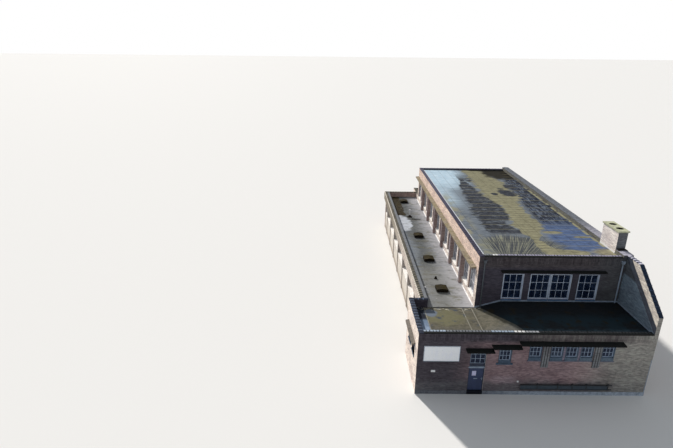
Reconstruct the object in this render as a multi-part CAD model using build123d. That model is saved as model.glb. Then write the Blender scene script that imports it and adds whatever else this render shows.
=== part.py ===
from build123d import *
import os

# A brick school building: a tall flat-roofed hall, a low annexe along the street with a
# raking end wall, a low corridor wing along the hall's west side and a low block behind it.
# Millimetres. While it is drawn, x runs east along the street front, y runs away from the
# street and z is up, from the foot of the street front's west corner.

# Street annexe
FRONT_LENGTH = 17000
ANNEXE_DEPTH = 4970
ANNEXE_TOP = 5200
LOW_WALL = 350
WEST_ROOF_LEVEL = 4450
EAST_ROOF_LEVEL = 5080
ROOF_SLOPE_RUN = 2030
LOW_DECK = 150
COPING_THICKNESS = 60
COPING_OVERHANG = 30
RETURN_THICKNESS = 260
RETURN_LENGTH = 1150
FLOOR_LEVEL = 300
PLINTH_PROUD = 30

# Raking end wall
RAKE_WALL = 300
RAKE_FOOT_LEVEL = 6600
RAKE_RUN = 3300

# Street door
DOORWAY_X = 3840
DOORWAY_WIDTH = 1160
DOORWAY_HEAD = 3850
DOOR_FRAME_FACE = 45
DOOR_FRAME_SETBACK = 60
DOOR_STOP = 20
DOOR_STOP_DEPTH = 30
DOOR_HEIGHT = 2000
DOOR_THICKNESS = 45
DOOR_SIDE_GAP = 8
DOOR_SILL_GAP = 10
TRANSOM_PANEL_HEIGHT = 350
HINGE_RADIUS = 9
HINGE_PIN_RADIUS = 6
HINGE_PIN_CLEARANCE = 0.3
HINGE_HEIGHT = 110
HINGE_KNUCKLE_GAP = 1
HINGE_PLATE = 3
HINGE_PLATE_WIDTH = 30
HINGE_LEVELS = (250, 1000, 1750)

# Windows of the annexe
SMALL_WINDOW_X = 5900
SMALL_WINDOW_SILL = 2900
SMALL_WINDOW_HEAD = 4130
CLASS_WINDOW_X = (8040, 9580, 10660, 11740, 13270)
CLASS_WINDOW_SILL = 3250
CLASS_WINDOW_HEAD = 4430
STREET_WINDOW_WIDTH = 860
WEST_WINDOW_Y = (1200, 2850)
WEST_WINDOW_WIDTH = 1250
WEST_WINDOW_SILL = 2350
WEST_WINDOW_HEAD = 3480
FRAME_BAR = 60
FRAME_DEPTH = 70
GLASS_THICKNESS = 12
STREET_REVEAL = 60
APRON_HEIGHT = 260
APRON_PROUD = 40
LEDGE_BEYOND_WINDOW = 170
LEDGE_HEIGHT = 120
LEDGE_PROUD = 90

# Ribbed brick piers between the class windows
RIBBED_PIER_X = (8990, 12700)
RIBBED_PIER_FOOT = 2370
RIBS = 3
RIB_WIDTH = 130
RIB_GAP = 50
RIB_PROUD = 110
RIB_FOOT_RISE = 170

# Canopies over the street openings: west end, east end, top at the wall
CLASS_CANOPY_LEVEL = 4580
CANOPIES = ((3450, 5420, 3960), (5290, 7340, 4280), (7230, 14620, CLASS_CANOPY_LEVEL))
CANOPY_DEPTH = 500
CANOPY_THICKNESS = 90
CANOPY_FALL = 30

# Hood over the annexe's west windows
HOOD_START_Y = 1000
HOOD_LENGTH = 3400
HOOD_DEPTH = 280
HOOD_LEVEL = 3700
HOOD_THICKNESS = 130
HOOD_FALL = 60

# Board and rail on the street front; the rail's posts stand at shares of its length
BOARD_X = 450
BOARD_WIDTH = 2600
BOARD_FOOT = 2860
BOARD_HEIGHT = 1260
BOARD_THICKNESS = 45
RAIL_POSTS = (0.188, 0.410, 0.569, 0.723, 0.956)
RAIL_START_X = 7700
RAIL_LENGTH = 6750
RAIL_LEVELS = (540, 900)
RAIL_BAR = 60
RAIL_CLEAR = 90
RAIL_POST_TOP = 1080

# Hall
HALL_WEST_X = 5270
HALL_LENGTH = 30000
HALL_TOP = 9000
HALL_END_WALL = 350
HALL_WEST_BAND = 350
HALL_WEST_WALL = 500
HALL_EAST_WALL = 750
HALL_EAST_STEP = 200
HALL_ROOF_LEVEL = 8800
HALL_DECK = 250
EAST_COPING_TOP = 9200
HALL_SILL = 5050
HALL_HEAD = 7600
HALL_SILL_RISE = 300
HALL_BAYS = 7
HALL_CORNER_PIER = 620
HALL_PIER = 360
HALL_BUTTRESS = 250
BEAM_FOOT = 4200
LEDGE_TOP = 7820
LEDGE_THICKNESS = 150
LEDGE_FALL = 40
LEDGE_DEPTH = 420
LEDGE_START = 570

# Windows in the hall's end walls: the brick beside and between them, from west to east; equal
# windows fill the rest of the hall's width
END_PIERS = (2060, 560, 70, 590, 2330)
END_WINDOW_SILL = 5300
END_WINDOW_HEAD = 7500
END_SILL_PROUD = 60
END_SILL_HEIGHT = 120
END_CANOPY_BEYOND_WEST = 270
END_CANOPY_BEYOND_EAST = 410
END_CANOPY_LEVEL = 7820
END_CANOPY_DEPTH = 300
END_CANOPY_THICKNESS = 110

# Chimney on the east wall, measured from the hall's front
CHIMNEY_START = 1280
CHIMNEY_LENGTH = 2350
CHIMNEY_TOP = 10580
CAP_THICKNESS = 120
CAP_OVERHANG = 80
FLUES = 2
FLUE_RADIUS = 200
FLUE_DEPTH = 90

# Downpipes on the hall's front, measured from its west face and from the raking wall
DOWNPIPE_WEST = 430
DOWNPIPE_EAST = 240
DOWNPIPE_RADIUS = 50
DOWNPIPE_STAND_OFF = 40
DOWNPIPE_TOP = 8700
DOWNPIPE_CLEAR = 200
DOWNPIPE_CLIPS = 3
DOWNPIPE_CLIP = 50

# Corridor wing
WING_WEST_X = 850
WING_BEYOND_HALL = 1600
WING_ROOF_LEVEL = 4500
WING_BAND_FOOT = 4200
WING_SETBACK = 220
WING_BUTTRESS = 60
WING_PIER_DEPTH = 370
WING_SILL = 2350
WING_SILL_RISE = 150
WING_PIERS = 7
WING_FIRST_PIER = 3610
WING_LAST_PIER = 2780
WING_PIER = 360
WING_SOUTH_PIER = 620
WING_END_PIER = 600

# Sloping sills under the windows of the hall's west side and the wing
SILL_PROUD = 40
SILL_EDGE = 50

# Rooflights at some of the equal steps along the wing's roof, and a vent pipe after one step
ROOFLIGHT_STEPS = (0, 1, 2, 4)
ROOFLIGHT_FROM_ANNEXE = 2510
ROOFLIGHT_FROM_END = 3020
ROOFLIGHT_WEST_X = 2740
ROOFLIGHT_WIDTH = 970
ROOFLIGHT_LENGTH = 900
ROOFLIGHT_HEIGHT = 260
ROOFLIGHT_CROWN = 70
VENT_X = 3180
VENT_STEP = 3
VENT_BEYOND_STEP = 770
VENT_RADIUS = 60
VENT_HEIGHT = 900
COWL_RADIUS = 130
COWL_HEIGHT = 160

# Rear block
REAR_DEPTH = 3630
REAR_WINDOW_SILL = 3250
REAR_WINDOW_HEAD = 4430

# Places worked out from the sizes above
ANNEXE_WALL_TOP = ANNEXE_TOP - COPING_THICKNESS
HALL_FRONT_Y = ANNEXE_DEPTH
HALL_REAR_Y = HALL_FRONT_Y + HALL_LENGTH
HALL_EAST_X = FRONT_LENGTH + HALL_EAST_STEP
HALL_INNER_FRONT_Y = HALL_FRONT_Y + HALL_END_WALL
HALL_INNER_REAR_Y = HALL_REAR_Y - HALL_END_WALL
HALL_WALL_TOP = HALL_TOP - COPING_THICKNESS
RETURN_END_Y = ANNEXE_DEPTH + RETURN_THICKNESS
WING_END_Y = HALL_REAR_Y + WING_BEYOND_HALL
REAR_END_Y = HALL_REAR_Y + REAR_DEPTH
REAR_INNER_X = HALL_EAST_X - LOW_WALL
EAST_INNER_X = FRONT_LENGTH - RAKE_WALL
DOORWAY_END_X = DOORWAY_X + DOORWAY_WIDTH
DOOR_FRAME_DEPTH = DOOR_STOP_DEPTH + DOOR_SIDE_GAP + DOOR_THICKNESS
HINGE_X = DOORWAY_X + DOOR_FRAME_FACE + DOOR_SIDE_GAP / 2
HINGE_Y = DOOR_FRAME_SETBACK + DOOR_FRAME_DEPTH + HINGE_RADIUS
WING_PIER_X = WING_WEST_X + WING_SETBACK
WING_FACE_X = WING_PIER_X + WING_BUTTRESS
WING_INNER_X = WING_FACE_X + WING_PIER_DEPTH
WING_PARAPET_X = WING_WEST_X + LOW_WALL
WING_DECK_FOOT = WING_ROOF_LEVEL - LOW_DECK
WING_INNER_END_Y = WING_END_Y - LOW_WALL
WEST_REACH = -HOOD_DEPTH
EAST_REACH = HALL_EAST_X + CAP_OVERHANG
FRONT_REACH = -CANOPY_DEPTH
REAR_REACH = REAR_END_Y + COPING_OVERHANG
CENTRE_X = (WEST_REACH + EAST_REACH) / 2
CENTRE_Y = (FRONT_REACH + REAR_REACH) / 2


def block(x0, x1, y0, y1, z0, z1):
    """A rectangular solid between two corners."""
    middle = Pos((x0 + x1) / 2, (y0 + y1) / 2, (z0 + z1) / 2)
    return middle * Box(x1 - x0, y1 - y0, z1 - z0)


def along_y(points, y0, y1):
    """A profile drawn in x and z, carried from y0 to y1."""
    face = Plane.XZ.offset(-y0) * make_face(Polyline(*points, close=True))
    return extrude(face, amount=-(y1 - y0))


def along_x(points, x0, x1):
    """A profile drawn in y and z, carried from x0 to x1."""
    face = Plane.YZ.offset(x0) * make_face(Polyline(*points, close=True))
    return extrude(face, amount=x1 - x0)


def save(name, *solids):
    """Writes one named piece, moved so that the origin is under the middle."""
    moved = [Pos(-CENTRE_X, -CENTRE_Y, 0) * solid for solid in solids]
    export_step(moved[0] if len(moved) == 1 else Compound(moved), f"parts/{name}.step")


def window_ring_south(x0, x1, z0, z1, y0):
    """A window's outer frame in a wall that faces the street or the rear."""
    ring = block(x0, x1, y0, y0 + FRAME_DEPTH, z0, z1)
    return ring - block(x0 + FRAME_BAR, x1 - FRAME_BAR, y0, y0 + FRAME_DEPTH, z0 + FRAME_BAR, z1 - FRAME_BAR)


def pane_south(x0, x1, z0, z1, y0):
    """The sheet of glass inside that frame."""
    middle = y0 + FRAME_DEPTH / 2
    return block(
        x0 + FRAME_BAR, x1 - FRAME_BAR,
        middle - GLASS_THICKNESS / 2, middle + GLASS_THICKNESS / 2,
        z0 + FRAME_BAR, z1 - FRAME_BAR,
    )


def window_ring_west(y0, y1, z0, z1, x0):
    """A window's outer frame in a wall that faces west."""
    ring = block(x0, x0 + FRAME_DEPTH, y0, y1, z0, z1)
    return ring - block(x0, x0 + FRAME_DEPTH, y0 + FRAME_BAR, y1 - FRAME_BAR, z0 + FRAME_BAR, z1 - FRAME_BAR)


def pane_west(y0, y1, z0, z1, x0):
    """The sheet of glass inside that frame."""
    middle = x0 + FRAME_DEPTH / 2
    return block(
        middle - GLASS_THICKNESS / 2, middle + GLASS_THICKNESS / 2,
        y0 + FRAME_BAR, y1 - FRAME_BAR,
        z0 + FRAME_BAR, z1 - FRAME_BAR,
    )


def sloping_sill(outer_x, inner_x, level, rise, y0, y1):
    """A sill that falls outwards from under a window frame in a wall that faces west."""
    profile = [
        (outer_x - SILL_PROUD, level), (inner_x, level), (inner_x, level + rise),
        (inner_x - FRAME_DEPTH, level + rise), (outer_x - SILL_PROUD, level + SILL_EDGE),
    ]
    return along_y(profile, y0, y1)


def street_windows():
    """The street front's windows as west edge, sill and head."""
    small = [(SMALL_WINDOW_X, SMALL_WINDOW_SILL, SMALL_WINDOW_HEAD)]
    return small + [(x, CLASS_WINDOW_SILL, CLASS_WINDOW_HEAD) for x in CLASS_WINDOW_X]


def front_walls():
    """A lower part, piers beside the windows, a band over them, and what fills between."""
    save("front_wall_west", block(0, DOORWAY_X, 0, LOW_WALL, 0, ANNEXE_WALL_TOP))
    save("front_wall_east", block(DOORWAY_END_X, EAST_INNER_X, 0, LOW_WALL, 0, SMALL_WINDOW_SILL))
    save("front_wall_band", block(DOORWAY_X, EAST_INNER_X, 0, LOW_WALL, CLASS_WINDOW_HEAD, ANNEXE_WALL_TOP))
    edges = [DOORWAY_END_X]
    fills = [block(DOORWAY_X, DOORWAY_END_X, 0, LOW_WALL, DOORWAY_HEAD, CLASS_WINDOW_HEAD)]
    for x, sill, head in street_windows():
        edges += [x, x + STREET_WINDOW_WIDTH]
        if sill > SMALL_WINDOW_SILL:
            fills.append(block(x, x + STREET_WINDOW_WIDTH, 0, LOW_WALL, SMALL_WINDOW_SILL, sill))
        if head < CLASS_WINDOW_HEAD:
            fills.append(block(x, x + STREET_WINDOW_WIDTH, 0, LOW_WALL, head, CLASS_WINDOW_HEAD))
    edges.append(EAST_INNER_X)
    piers = [
        block(start, end, 0, LOW_WALL, SMALL_WINDOW_SILL, CLASS_WINDOW_HEAD)
        for start, end in zip(edges[0::2], edges[1::2])
    ]
    save("front_window_piers", *piers)
    save("front_window_fills", *fills)


def front_plinth():
    west = block(0, DOORWAY_X, -PLINTH_PROUD, 0, 0, FLOOR_LEVEL)
    east = block(DOORWAY_END_X, FRONT_LENGTH, -PLINTH_PROUD, 0, 0, FLOOR_LEVEL)
    save("front_plinth", west, east)
    step = block(DOORWAY_X, DOORWAY_END_X, -PLINTH_PROUD, LOW_WALL, 0, FLOOR_LEVEL)
    save("entrance_step", step)


def annexe_side_walls():
    west = block(0, LOW_WALL, LOW_WALL, RETURN_END_Y, 0, ANNEXE_WALL_TOP)
    for y in WEST_WINDOW_Y:
        west -= block(0, LOW_WALL, y, y + WEST_WINDOW_WIDTH, WEST_WINDOW_SILL, WEST_WINDOW_HEAD)
    west += block(LOW_WALL, LOW_WALL + RETURN_LENGTH, ANNEXE_DEPTH, RETURN_END_Y, 0, ANNEXE_WALL_TOP)
    save("annexe_west_wall", west)
    top = EAST_COPING_TOP - COPING_THICKNESS
    rake = [
        (0, 0), (HALL_FRONT_Y, 0),
        (HALL_FRONT_Y, top), (RAKE_RUN, top),
        (0, RAKE_FOOT_LEVEL - COPING_THICKNESS),
    ]
    save("raking_wall", along_x(rake, EAST_INNER_X, FRONT_LENGTH))


def raking_coping():
    bed = EAST_COPING_TOP - COPING_THICKNESS
    profile = [
        (0, RAKE_FOOT_LEVEL - COPING_THICKNESS), (RAKE_RUN, bed),
        (HALL_FRONT_Y, bed), (HALL_FRONT_Y, EAST_COPING_TOP),
        (RAKE_RUN, EAST_COPING_TOP), (0, RAKE_FOOT_LEVEL),
    ]
    save("raking_coping", along_x(profile, EAST_INNER_X - COPING_OVERHANG, FRONT_LENGTH + COPING_OVERHANG))


def annexe_roof():
    slope_end_x = HALL_WEST_X + ROOF_SLOPE_RUN
    profile = [
        (LOW_WALL, WEST_ROOF_LEVEL - LOW_DECK), (HALL_WEST_X, WEST_ROOF_LEVEL - LOW_DECK),
        (slope_end_x, EAST_ROOF_LEVEL - LOW_DECK), (EAST_INNER_X, EAST_ROOF_LEVEL - LOW_DECK),
        (EAST_INNER_X, EAST_ROOF_LEVEL), (slope_end_x, EAST_ROOF_LEVEL),
        (HALL_WEST_X, WEST_ROOF_LEVEL), (LOW_WALL, WEST_ROOF_LEVEL),
    ]
    save("annexe_roof", along_y(profile, LOW_WALL, ANNEXE_DEPTH))


def front_copings():
    """Thin edgings along the tops of the annexe's and the hall's front walls."""
    annexe = block(
        LOW_WALL + COPING_OVERHANG, EAST_INNER_X,
        -COPING_OVERHANG, LOW_WALL + COPING_OVERHANG,
        ANNEXE_WALL_TOP, ANNEXE_TOP,
    )
    hall = block(
        HALL_WEST_X + HALL_WEST_BAND + COPING_OVERHANG, HALL_EAST_X - HALL_EAST_WALL - COPING_OVERHANG,
        HALL_FRONT_Y - COPING_OVERHANG, HALL_INNER_FRONT_Y + COPING_OVERHANG,
        HALL_WALL_TOP, HALL_TOP,
    )
    save("front_copings", annexe, hall)


def annexe_west_coping():
    west = block(
        -COPING_OVERHANG, LOW_WALL + COPING_OVERHANG,
        -COPING_OVERHANG, RETURN_END_Y + COPING_OVERHANG,
        ANNEXE_WALL_TOP, ANNEXE_TOP,
    )
    end = block(
        LOW_WALL + COPING_OVERHANG, LOW_WALL + RETURN_LENGTH + COPING_OVERHANG,
        ANNEXE_DEPTH - COPING_OVERHANG, RETURN_END_Y + COPING_OVERHANG,
        ANNEXE_WALL_TOP, ANNEXE_TOP,
    )
    save("annexe_west_coping", west + end)


def canopies():
    slabs = []
    for x0, x1, level in CANOPIES:
        profile = [
            (0, level), (0, level - CANOPY_THICKNESS),
            (-CANOPY_DEPTH, level - CANOPY_FALL - CANOPY_THICKNESS), (-CANOPY_DEPTH, level - CANOPY_FALL),
        ]
        slabs.append(along_x(profile, x0, x1))
    x0 = end_windows_x()[0][0] - END_CANOPY_BEYOND_WEST
    x1 = end_windows_x()[-1][1] + END_CANOPY_BEYOND_EAST
    for y0 in (HALL_FRONT_Y - END_CANOPY_DEPTH, HALL_REAR_Y):
        slabs.append(block(
            x0, x1, y0, y0 + END_CANOPY_DEPTH,
            END_CANOPY_LEVEL - END_CANOPY_THICKNESS, END_CANOPY_LEVEL,
        ))
    save("canopies", *slabs)
    hood = [
        (0, HOOD_LEVEL), (-HOOD_DEPTH, HOOD_LEVEL - HOOD_FALL),
        (-HOOD_DEPTH, HOOD_LEVEL - HOOD_FALL - HOOD_THICKNESS), (0, HOOD_LEVEL - HOOD_THICKNESS),
    ]
    save("west_hood", along_y(hood, HOOD_START_Y, HOOD_START_Y + HOOD_LENGTH))


def transom_pane():
    """The sheet of glass over the street door."""
    middle = DOOR_FRAME_SETBACK + DOOR_FRAME_DEPTH / 2
    return block(
        DOORWAY_X + DOOR_FRAME_FACE, DOORWAY_END_X - DOOR_FRAME_FACE,
        middle - GLASS_THICKNESS / 2, middle + GLASS_THICKNESS / 2,
        FLOOR_LEVEL + DOOR_HEIGHT + TRANSOM_PANEL_HEIGHT, DOORWAY_HEAD - DOOR_FRAME_FACE,
    )


def annexe_windows():
    frames = []
    panes = []
    for x, sill, head in street_windows():
        edges = (x, x + STREET_WINDOW_WIDTH, sill, head, STREET_REVEAL)
        frames.append(window_ring_south(*edges))
        panes.append(pane_south(*edges))
    for y in WEST_WINDOW_Y:
        edges = (y, y + WEST_WINDOW_WIDTH, WEST_WINDOW_SILL, WEST_WINDOW_HEAD, LOW_WALL / 2)
        frames.append(window_ring_west(*edges))
        panes.append(pane_west(*edges))
    panes.append(transom_pane())
    save("annexe_window_frames", *frames)
    save("annexe_glass", *panes)


def window_aprons():
    aprons = []
    for x, sill, head in street_windows():
        apron = block(x, x + STREET_WINDOW_WIDTH, -APRON_PROUD, 0, sill - APRON_HEIGHT, sill)
        if x == SMALL_WINDOW_X:
            apron += block(
                x - LEDGE_BEYOND_WINDOW, x + STREET_WINDOW_WIDTH + LEDGE_BEYOND_WINDOW, -LEDGE_PROUD, 0,
                sill - APRON_HEIGHT, sill - APRON_HEIGHT + LEDGE_HEIGHT,
            )
        aprons.append(apron)
    save("window_aprons", *aprons)


def ribbed_piers():
    """Upright brick ribs in threes, each with a foot that runs back to the wall."""
    ribs = []
    top = CLASS_CANOPY_LEVEL - CANOPY_THICKNESS
    front_top = top - CANOPY_FALL * RIB_PROUD / CANOPY_DEPTH
    side = [
        (0, RIBBED_PIER_FOOT), (-RIB_PROUD, RIBBED_PIER_FOOT + RIB_FOOT_RISE),
        (-RIB_PROUD, front_top), (0, top),
    ]
    for x in RIBBED_PIER_X:
        for index in range(RIBS):
            start = x + (RIB_WIDTH + RIB_GAP) * index
            ribs.append(along_x(side, start, start + RIB_WIDTH))
    save("ribbed_piers", *ribs)


def sign_board():
    board = block(
        BOARD_X, BOARD_X + BOARD_WIDTH, -BOARD_THICKNESS, 0, BOARD_FOOT, BOARD_FOOT + BOARD_HEIGHT,
    )
    save("sign_board", board)


def wall_rail():
    rail = None
    for level in RAIL_LEVELS:
        bar = block(
            RAIL_START_X, RAIL_START_X + RAIL_LENGTH,
            -RAIL_CLEAR - RAIL_BAR, -RAIL_CLEAR,
            level, level + RAIL_BAR,
        )
        rail = bar if rail is None else rail + bar
    for share in RAIL_POSTS:
        x = RAIL_START_X + RAIL_LENGTH * share
        post = block(
            x - RAIL_BAR / 2, x + RAIL_BAR / 2,
            -RAIL_CLEAR - RAIL_BAR, -RAIL_CLEAR,
            RAIL_LEVELS[0], RAIL_POST_TOP,
        )
        rail += post
        for level in RAIL_LEVELS:
            bracket = block(x - RAIL_BAR / 2, x + RAIL_BAR / 2, -RAIL_CLEAR, 0, level, level + RAIL_BAR)
            rail += bracket
    save("wall_rail", rail)


def hinge_knuckle(level, height):
    """One barrel of a hinge, from a level upwards, on the door's axis."""
    return Pos(HINGE_X, HINGE_Y, level + height / 2) * Cylinder(HINGE_RADIUS, height)


def frame_hinges():
    """Pin, end knuckles and plate of each hinge, fixed to the frame's inner face."""
    face_y = DOOR_FRAME_SETBACK + DOOR_FRAME_DEPTH
    knuckle = (HINGE_HEIGHT - 2 * HINGE_KNUCKLE_GAP) / 3
    hinges = []
    for level in HINGE_LEVELS:
        foot = FLOOR_LEVEL + level
        hinge = Pos(HINGE_X, HINGE_Y, foot + HINGE_HEIGHT / 2) * Cylinder(HINGE_PIN_RADIUS, HINGE_HEIGHT)
        for start in (foot, foot + HINGE_HEIGHT - knuckle):
            hinge += hinge_knuckle(start, knuckle)
            hinge += block(
                HINGE_X - HINGE_PLATE_WIDTH, HINGE_X, face_y, face_y + HINGE_PLATE, start, start + knuckle,
            )
        hinges.append(hinge)
    return hinges


def leaf_hinges():
    """Middle knuckle and plate of each hinge, fixed to the leaf's inner face."""
    face_y = DOOR_FRAME_SETBACK + DOOR_FRAME_DEPTH
    knuckle = (HINGE_HEIGHT - 2 * HINGE_KNUCKLE_GAP) / 3
    hinges = []
    for level in HINGE_LEVELS:
        start = FLOOR_LEVEL + level + knuckle + HINGE_KNUCKLE_GAP
        hinge = hinge_knuckle(start, knuckle)
        hinge += block(
            HINGE_X, HINGE_X + HINGE_PLATE_WIDTH, face_y, face_y + HINGE_PLATE, start, start + knuckle,
        )
        bore = Pos(HINGE_X, HINGE_Y, start + knuckle / 2) * Cylinder(
            HINGE_PIN_RADIUS + HINGE_PIN_CLEARANCE, knuckle,
        )
        hinges.append(hinge - bore)
    return hinges


def street_door():
    """The door frame with its transom, and the leaf that swings inwards."""
    x0 = DOORWAY_X
    x1 = DOORWAY_END_X
    clear_x0 = x0 + DOOR_FRAME_FACE
    clear_x1 = x1 - DOOR_FRAME_FACE
    face = DOOR_FRAME_SETBACK
    back = face + DOOR_FRAME_DEPTH
    door_head = FLOOR_LEVEL + DOOR_HEIGHT
    panel_top = door_head + TRANSOM_PANEL_HEIGHT
    frame = block(x0, x1, face, back, FLOOR_LEVEL, DOORWAY_HEAD)
    frame -= block(clear_x0, clear_x1, face, back, FLOOR_LEVEL, door_head)
    frame -= block(clear_x0, clear_x1, face, back, panel_top, DOORWAY_HEAD - DOOR_FRAME_FACE)
    for stop_x in (clear_x0, clear_x1 - DOOR_STOP):
        frame += block(stop_x, stop_x + DOOR_STOP, face, face + DOOR_STOP_DEPTH, FLOOR_LEVEL, door_head)
    frame += block(clear_x0, clear_x1, face, face + DOOR_STOP_DEPTH, door_head - DOOR_STOP, door_head)
    for hinge in frame_hinges():
        frame += hinge
    save("door_frame", frame)
    leaf_y = face + DOOR_STOP_DEPTH + DOOR_SIDE_GAP
    leaf = block(
        clear_x0 + DOOR_SIDE_GAP, clear_x1 - DOOR_SIDE_GAP,
        leaf_y, leaf_y + DOOR_THICKNESS,
        FLOOR_LEVEL + DOOR_SILL_GAP, door_head - DOOR_SIDE_GAP,
    )
    for hinge in leaf_hinges():
        leaf += hinge
    save("street_door", leaf)


def end_windows_x():
    """West and east edge of each window in the hall's end walls and in the rear wall."""
    count = len(END_PIERS) - 1
    width = (HALL_EAST_X - HALL_WEST_X - sum(END_PIERS)) / count
    edges = []
    for index in range(count):
        start = HALL_WEST_X + sum(END_PIERS[:index + 1]) + width * index
        edges.append((start, start + width))
    return edges


def hall_end_wall(y0, y1):
    """A hall end wall with its four windows, carried on a beam over the open floor."""
    wall = block(HALL_WEST_X, HALL_EAST_X, y0, y1, BEAM_FOOT, HALL_WALL_TOP)
    for x0, x1 in end_windows_x():
        wall -= block(x0, x1, y0, y1, END_WINDOW_SILL, END_WINDOW_HEAD)
    return wall


def hall_end_walls():
    save("hall_front_wall", hall_end_wall(HALL_FRONT_Y, HALL_INNER_FRONT_Y))
    save("hall_rear_wall", hall_end_wall(HALL_INNER_REAR_Y, HALL_REAR_Y))
    frames = []
    panes = []
    sills = []
    for y_frame, y_sill in ((HALL_FRONT_Y + STREET_REVEAL, HALL_FRONT_Y - END_SILL_PROUD),
                            (HALL_REAR_Y - STREET_REVEAL - FRAME_DEPTH, HALL_REAR_Y)):
        for x0, x1 in end_windows_x():
            edges = (x0, x1, END_WINDOW_SILL, END_WINDOW_HEAD, y_frame)
            frames.append(window_ring_south(*edges))
            panes.append(pane_south(*edges))
            sills.append(block(
                x0, x1, y_sill, y_sill + END_SILL_PROUD, END_WINDOW_SILL - END_SILL_HEIGHT, END_WINDOW_SILL,
            ))
    rear_y = REAR_END_Y - STREET_REVEAL - FRAME_DEPTH
    for x0, x1 in end_windows_x():
        edges = (x0, x1, REAR_WINDOW_SILL, REAR_WINDOW_HEAD, rear_y)
        frames.append(window_ring_south(*edges))
        panes.append(pane_south(*edges))
    save("end_window_frames", *frames)
    save("end_glass", *panes)
    save("hall_end_sills", *sills)


def hall_window_width():
    """Fourteen equal windows fill the length between the corner piers."""
    windows = 2 * HALL_BAYS
    clear = HALL_LENGTH - 2 * HALL_CORNER_PIER - (windows - 1) * HALL_PIER
    return clear / windows


def hall_piers_y():
    """South edge of each pier between the side windows; every second one projects."""
    step = hall_window_width() + HALL_PIER
    first = HALL_FRONT_Y + HALL_CORNER_PIER + hall_window_width()
    return [first + step * index for index in range(2 * HALL_BAYS - 1)]


def hall_windows_y():
    """South and north edge of each window on a long side of the hall."""
    starts = [HALL_FRONT_Y + HALL_CORNER_PIER] + [y + HALL_PIER for y in hall_piers_y()]
    return list(zip(starts, hall_piers_y() + [HALL_REAR_Y - HALL_CORNER_PIER]))


def hall_side_piers(x0, x1, buttress_x):
    corner_end = HALL_FRONT_Y + HALL_CORNER_PIER
    corner_start = HALL_REAR_Y - HALL_CORNER_PIER
    piers = [
        block(x0, x1, HALL_INNER_FRONT_Y, corner_end, HALL_SILL, HALL_HEAD),
        block(x0, x1, corner_start, HALL_INNER_REAR_Y, HALL_SILL, HALL_HEAD),
    ]
    for index, y in enumerate(hall_piers_y()):
        pier = block(x0, x1, y, y + HALL_PIER, HALL_SILL, HALL_HEAD)
        if buttress_x is not None and index % 2 == 1:
            pier += block(buttress_x, x0, y, y + HALL_PIER, WING_ROOF_LEVEL, LEDGE_TOP - LEDGE_THICKNESS)
        piers.append(pier)
    return piers


def hall_lower_wall(x0, x1):
    """A long wall up to its window sills, carrying the ends of the two beams."""
    wall = block(x0, x1, HALL_FRONT_Y, HALL_REAR_Y, 0, BEAM_FOOT)
    return wall + block(x0, x1, HALL_INNER_FRONT_Y, HALL_INNER_REAR_Y, BEAM_FOOT, HALL_SILL)


def hall_west_side():
    inner_x = HALL_WEST_X + HALL_WEST_WALL
    save("hall_west_wall", hall_lower_wall(HALL_WEST_X, inner_x))
    save("hall_west_piers", *hall_side_piers(HALL_WEST_X, inner_x, HALL_WEST_X - HALL_BUTTRESS))
    band = block(
        HALL_WEST_X, HALL_WEST_X + HALL_WEST_BAND,
        HALL_INNER_FRONT_Y, HALL_INNER_REAR_Y, HALL_HEAD, HALL_WALL_TOP,
    )
    save("hall_west_band", band)
    sills = [
        sloping_sill(HALL_WEST_X, inner_x, HALL_SILL, HALL_SILL_RISE, y0, y1) for y0, y1 in hall_windows_y()
    ]
    save("hall_west_sills", *sills)
    ledge = [
        (HALL_WEST_X, LEDGE_TOP), (HALL_WEST_X - LEDGE_DEPTH, LEDGE_TOP - LEDGE_FALL),
        (HALL_WEST_X - LEDGE_DEPTH, LEDGE_TOP - LEDGE_THICKNESS), (HALL_WEST_X, LEDGE_TOP - LEDGE_THICKNESS),
    ]
    save("hall_west_ledge", along_y(ledge, HALL_FRONT_Y + LEDGE_START, HALL_REAR_Y))


def hall_east_side():
    inner_x = HALL_EAST_X - HALL_EAST_WALL
    save("hall_east_wall", hall_lower_wall(inner_x, HALL_EAST_X))
    save("hall_east_piers", *hall_side_piers(inner_x, HALL_EAST_X, None))
    band = block(
        inner_x, HALL_EAST_X, HALL_INNER_FRONT_Y, HALL_INNER_REAR_Y,
        HALL_HEAD, EAST_COPING_TOP - COPING_THICKNESS,
    )
    for y0 in (HALL_FRONT_Y, HALL_INNER_REAR_Y):
        band += block(
            inner_x, HALL_EAST_X, y0, y0 + HALL_END_WALL,
            HALL_WALL_TOP, EAST_COPING_TOP - COPING_THICKNESS,
        )
    save("hall_east_band", band)


def side_glass():
    """One sheet of glass closes each long side's windows, on the inner face of its piers."""
    y0 = HALL_FRONT_Y + HALL_CORNER_PIER
    y1 = HALL_REAR_Y - HALL_CORNER_PIER
    west_x = HALL_WEST_X + HALL_WEST_WALL
    east_x = HALL_EAST_X - HALL_EAST_WALL - GLASS_THICKNESS
    west = block(west_x, west_x + GLASS_THICKNESS, y0, y1, HALL_SILL, HALL_HEAD)
    east = block(east_x, east_x + GLASS_THICKNESS, y0, y1, HALL_SILL, HALL_HEAD)
    wing = block(
        WING_INNER_X, WING_INNER_X + GLASS_THICKNESS,
        RETURN_END_Y + WING_SOUTH_PIER, WING_INNER_END_Y - WING_END_PIER, WING_SILL, WING_BAND_FOOT,
    )
    save("side_glass", west, east, wing)


def hall_roof():
    deck = block(
        HALL_WEST_X + HALL_WEST_BAND, HALL_EAST_X - HALL_EAST_WALL,
        HALL_INNER_FRONT_Y, HALL_INNER_REAR_Y,
        HALL_ROOF_LEVEL - HALL_DECK, HALL_ROOF_LEVEL,
    )
    save("hall_roof", deck)


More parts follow.
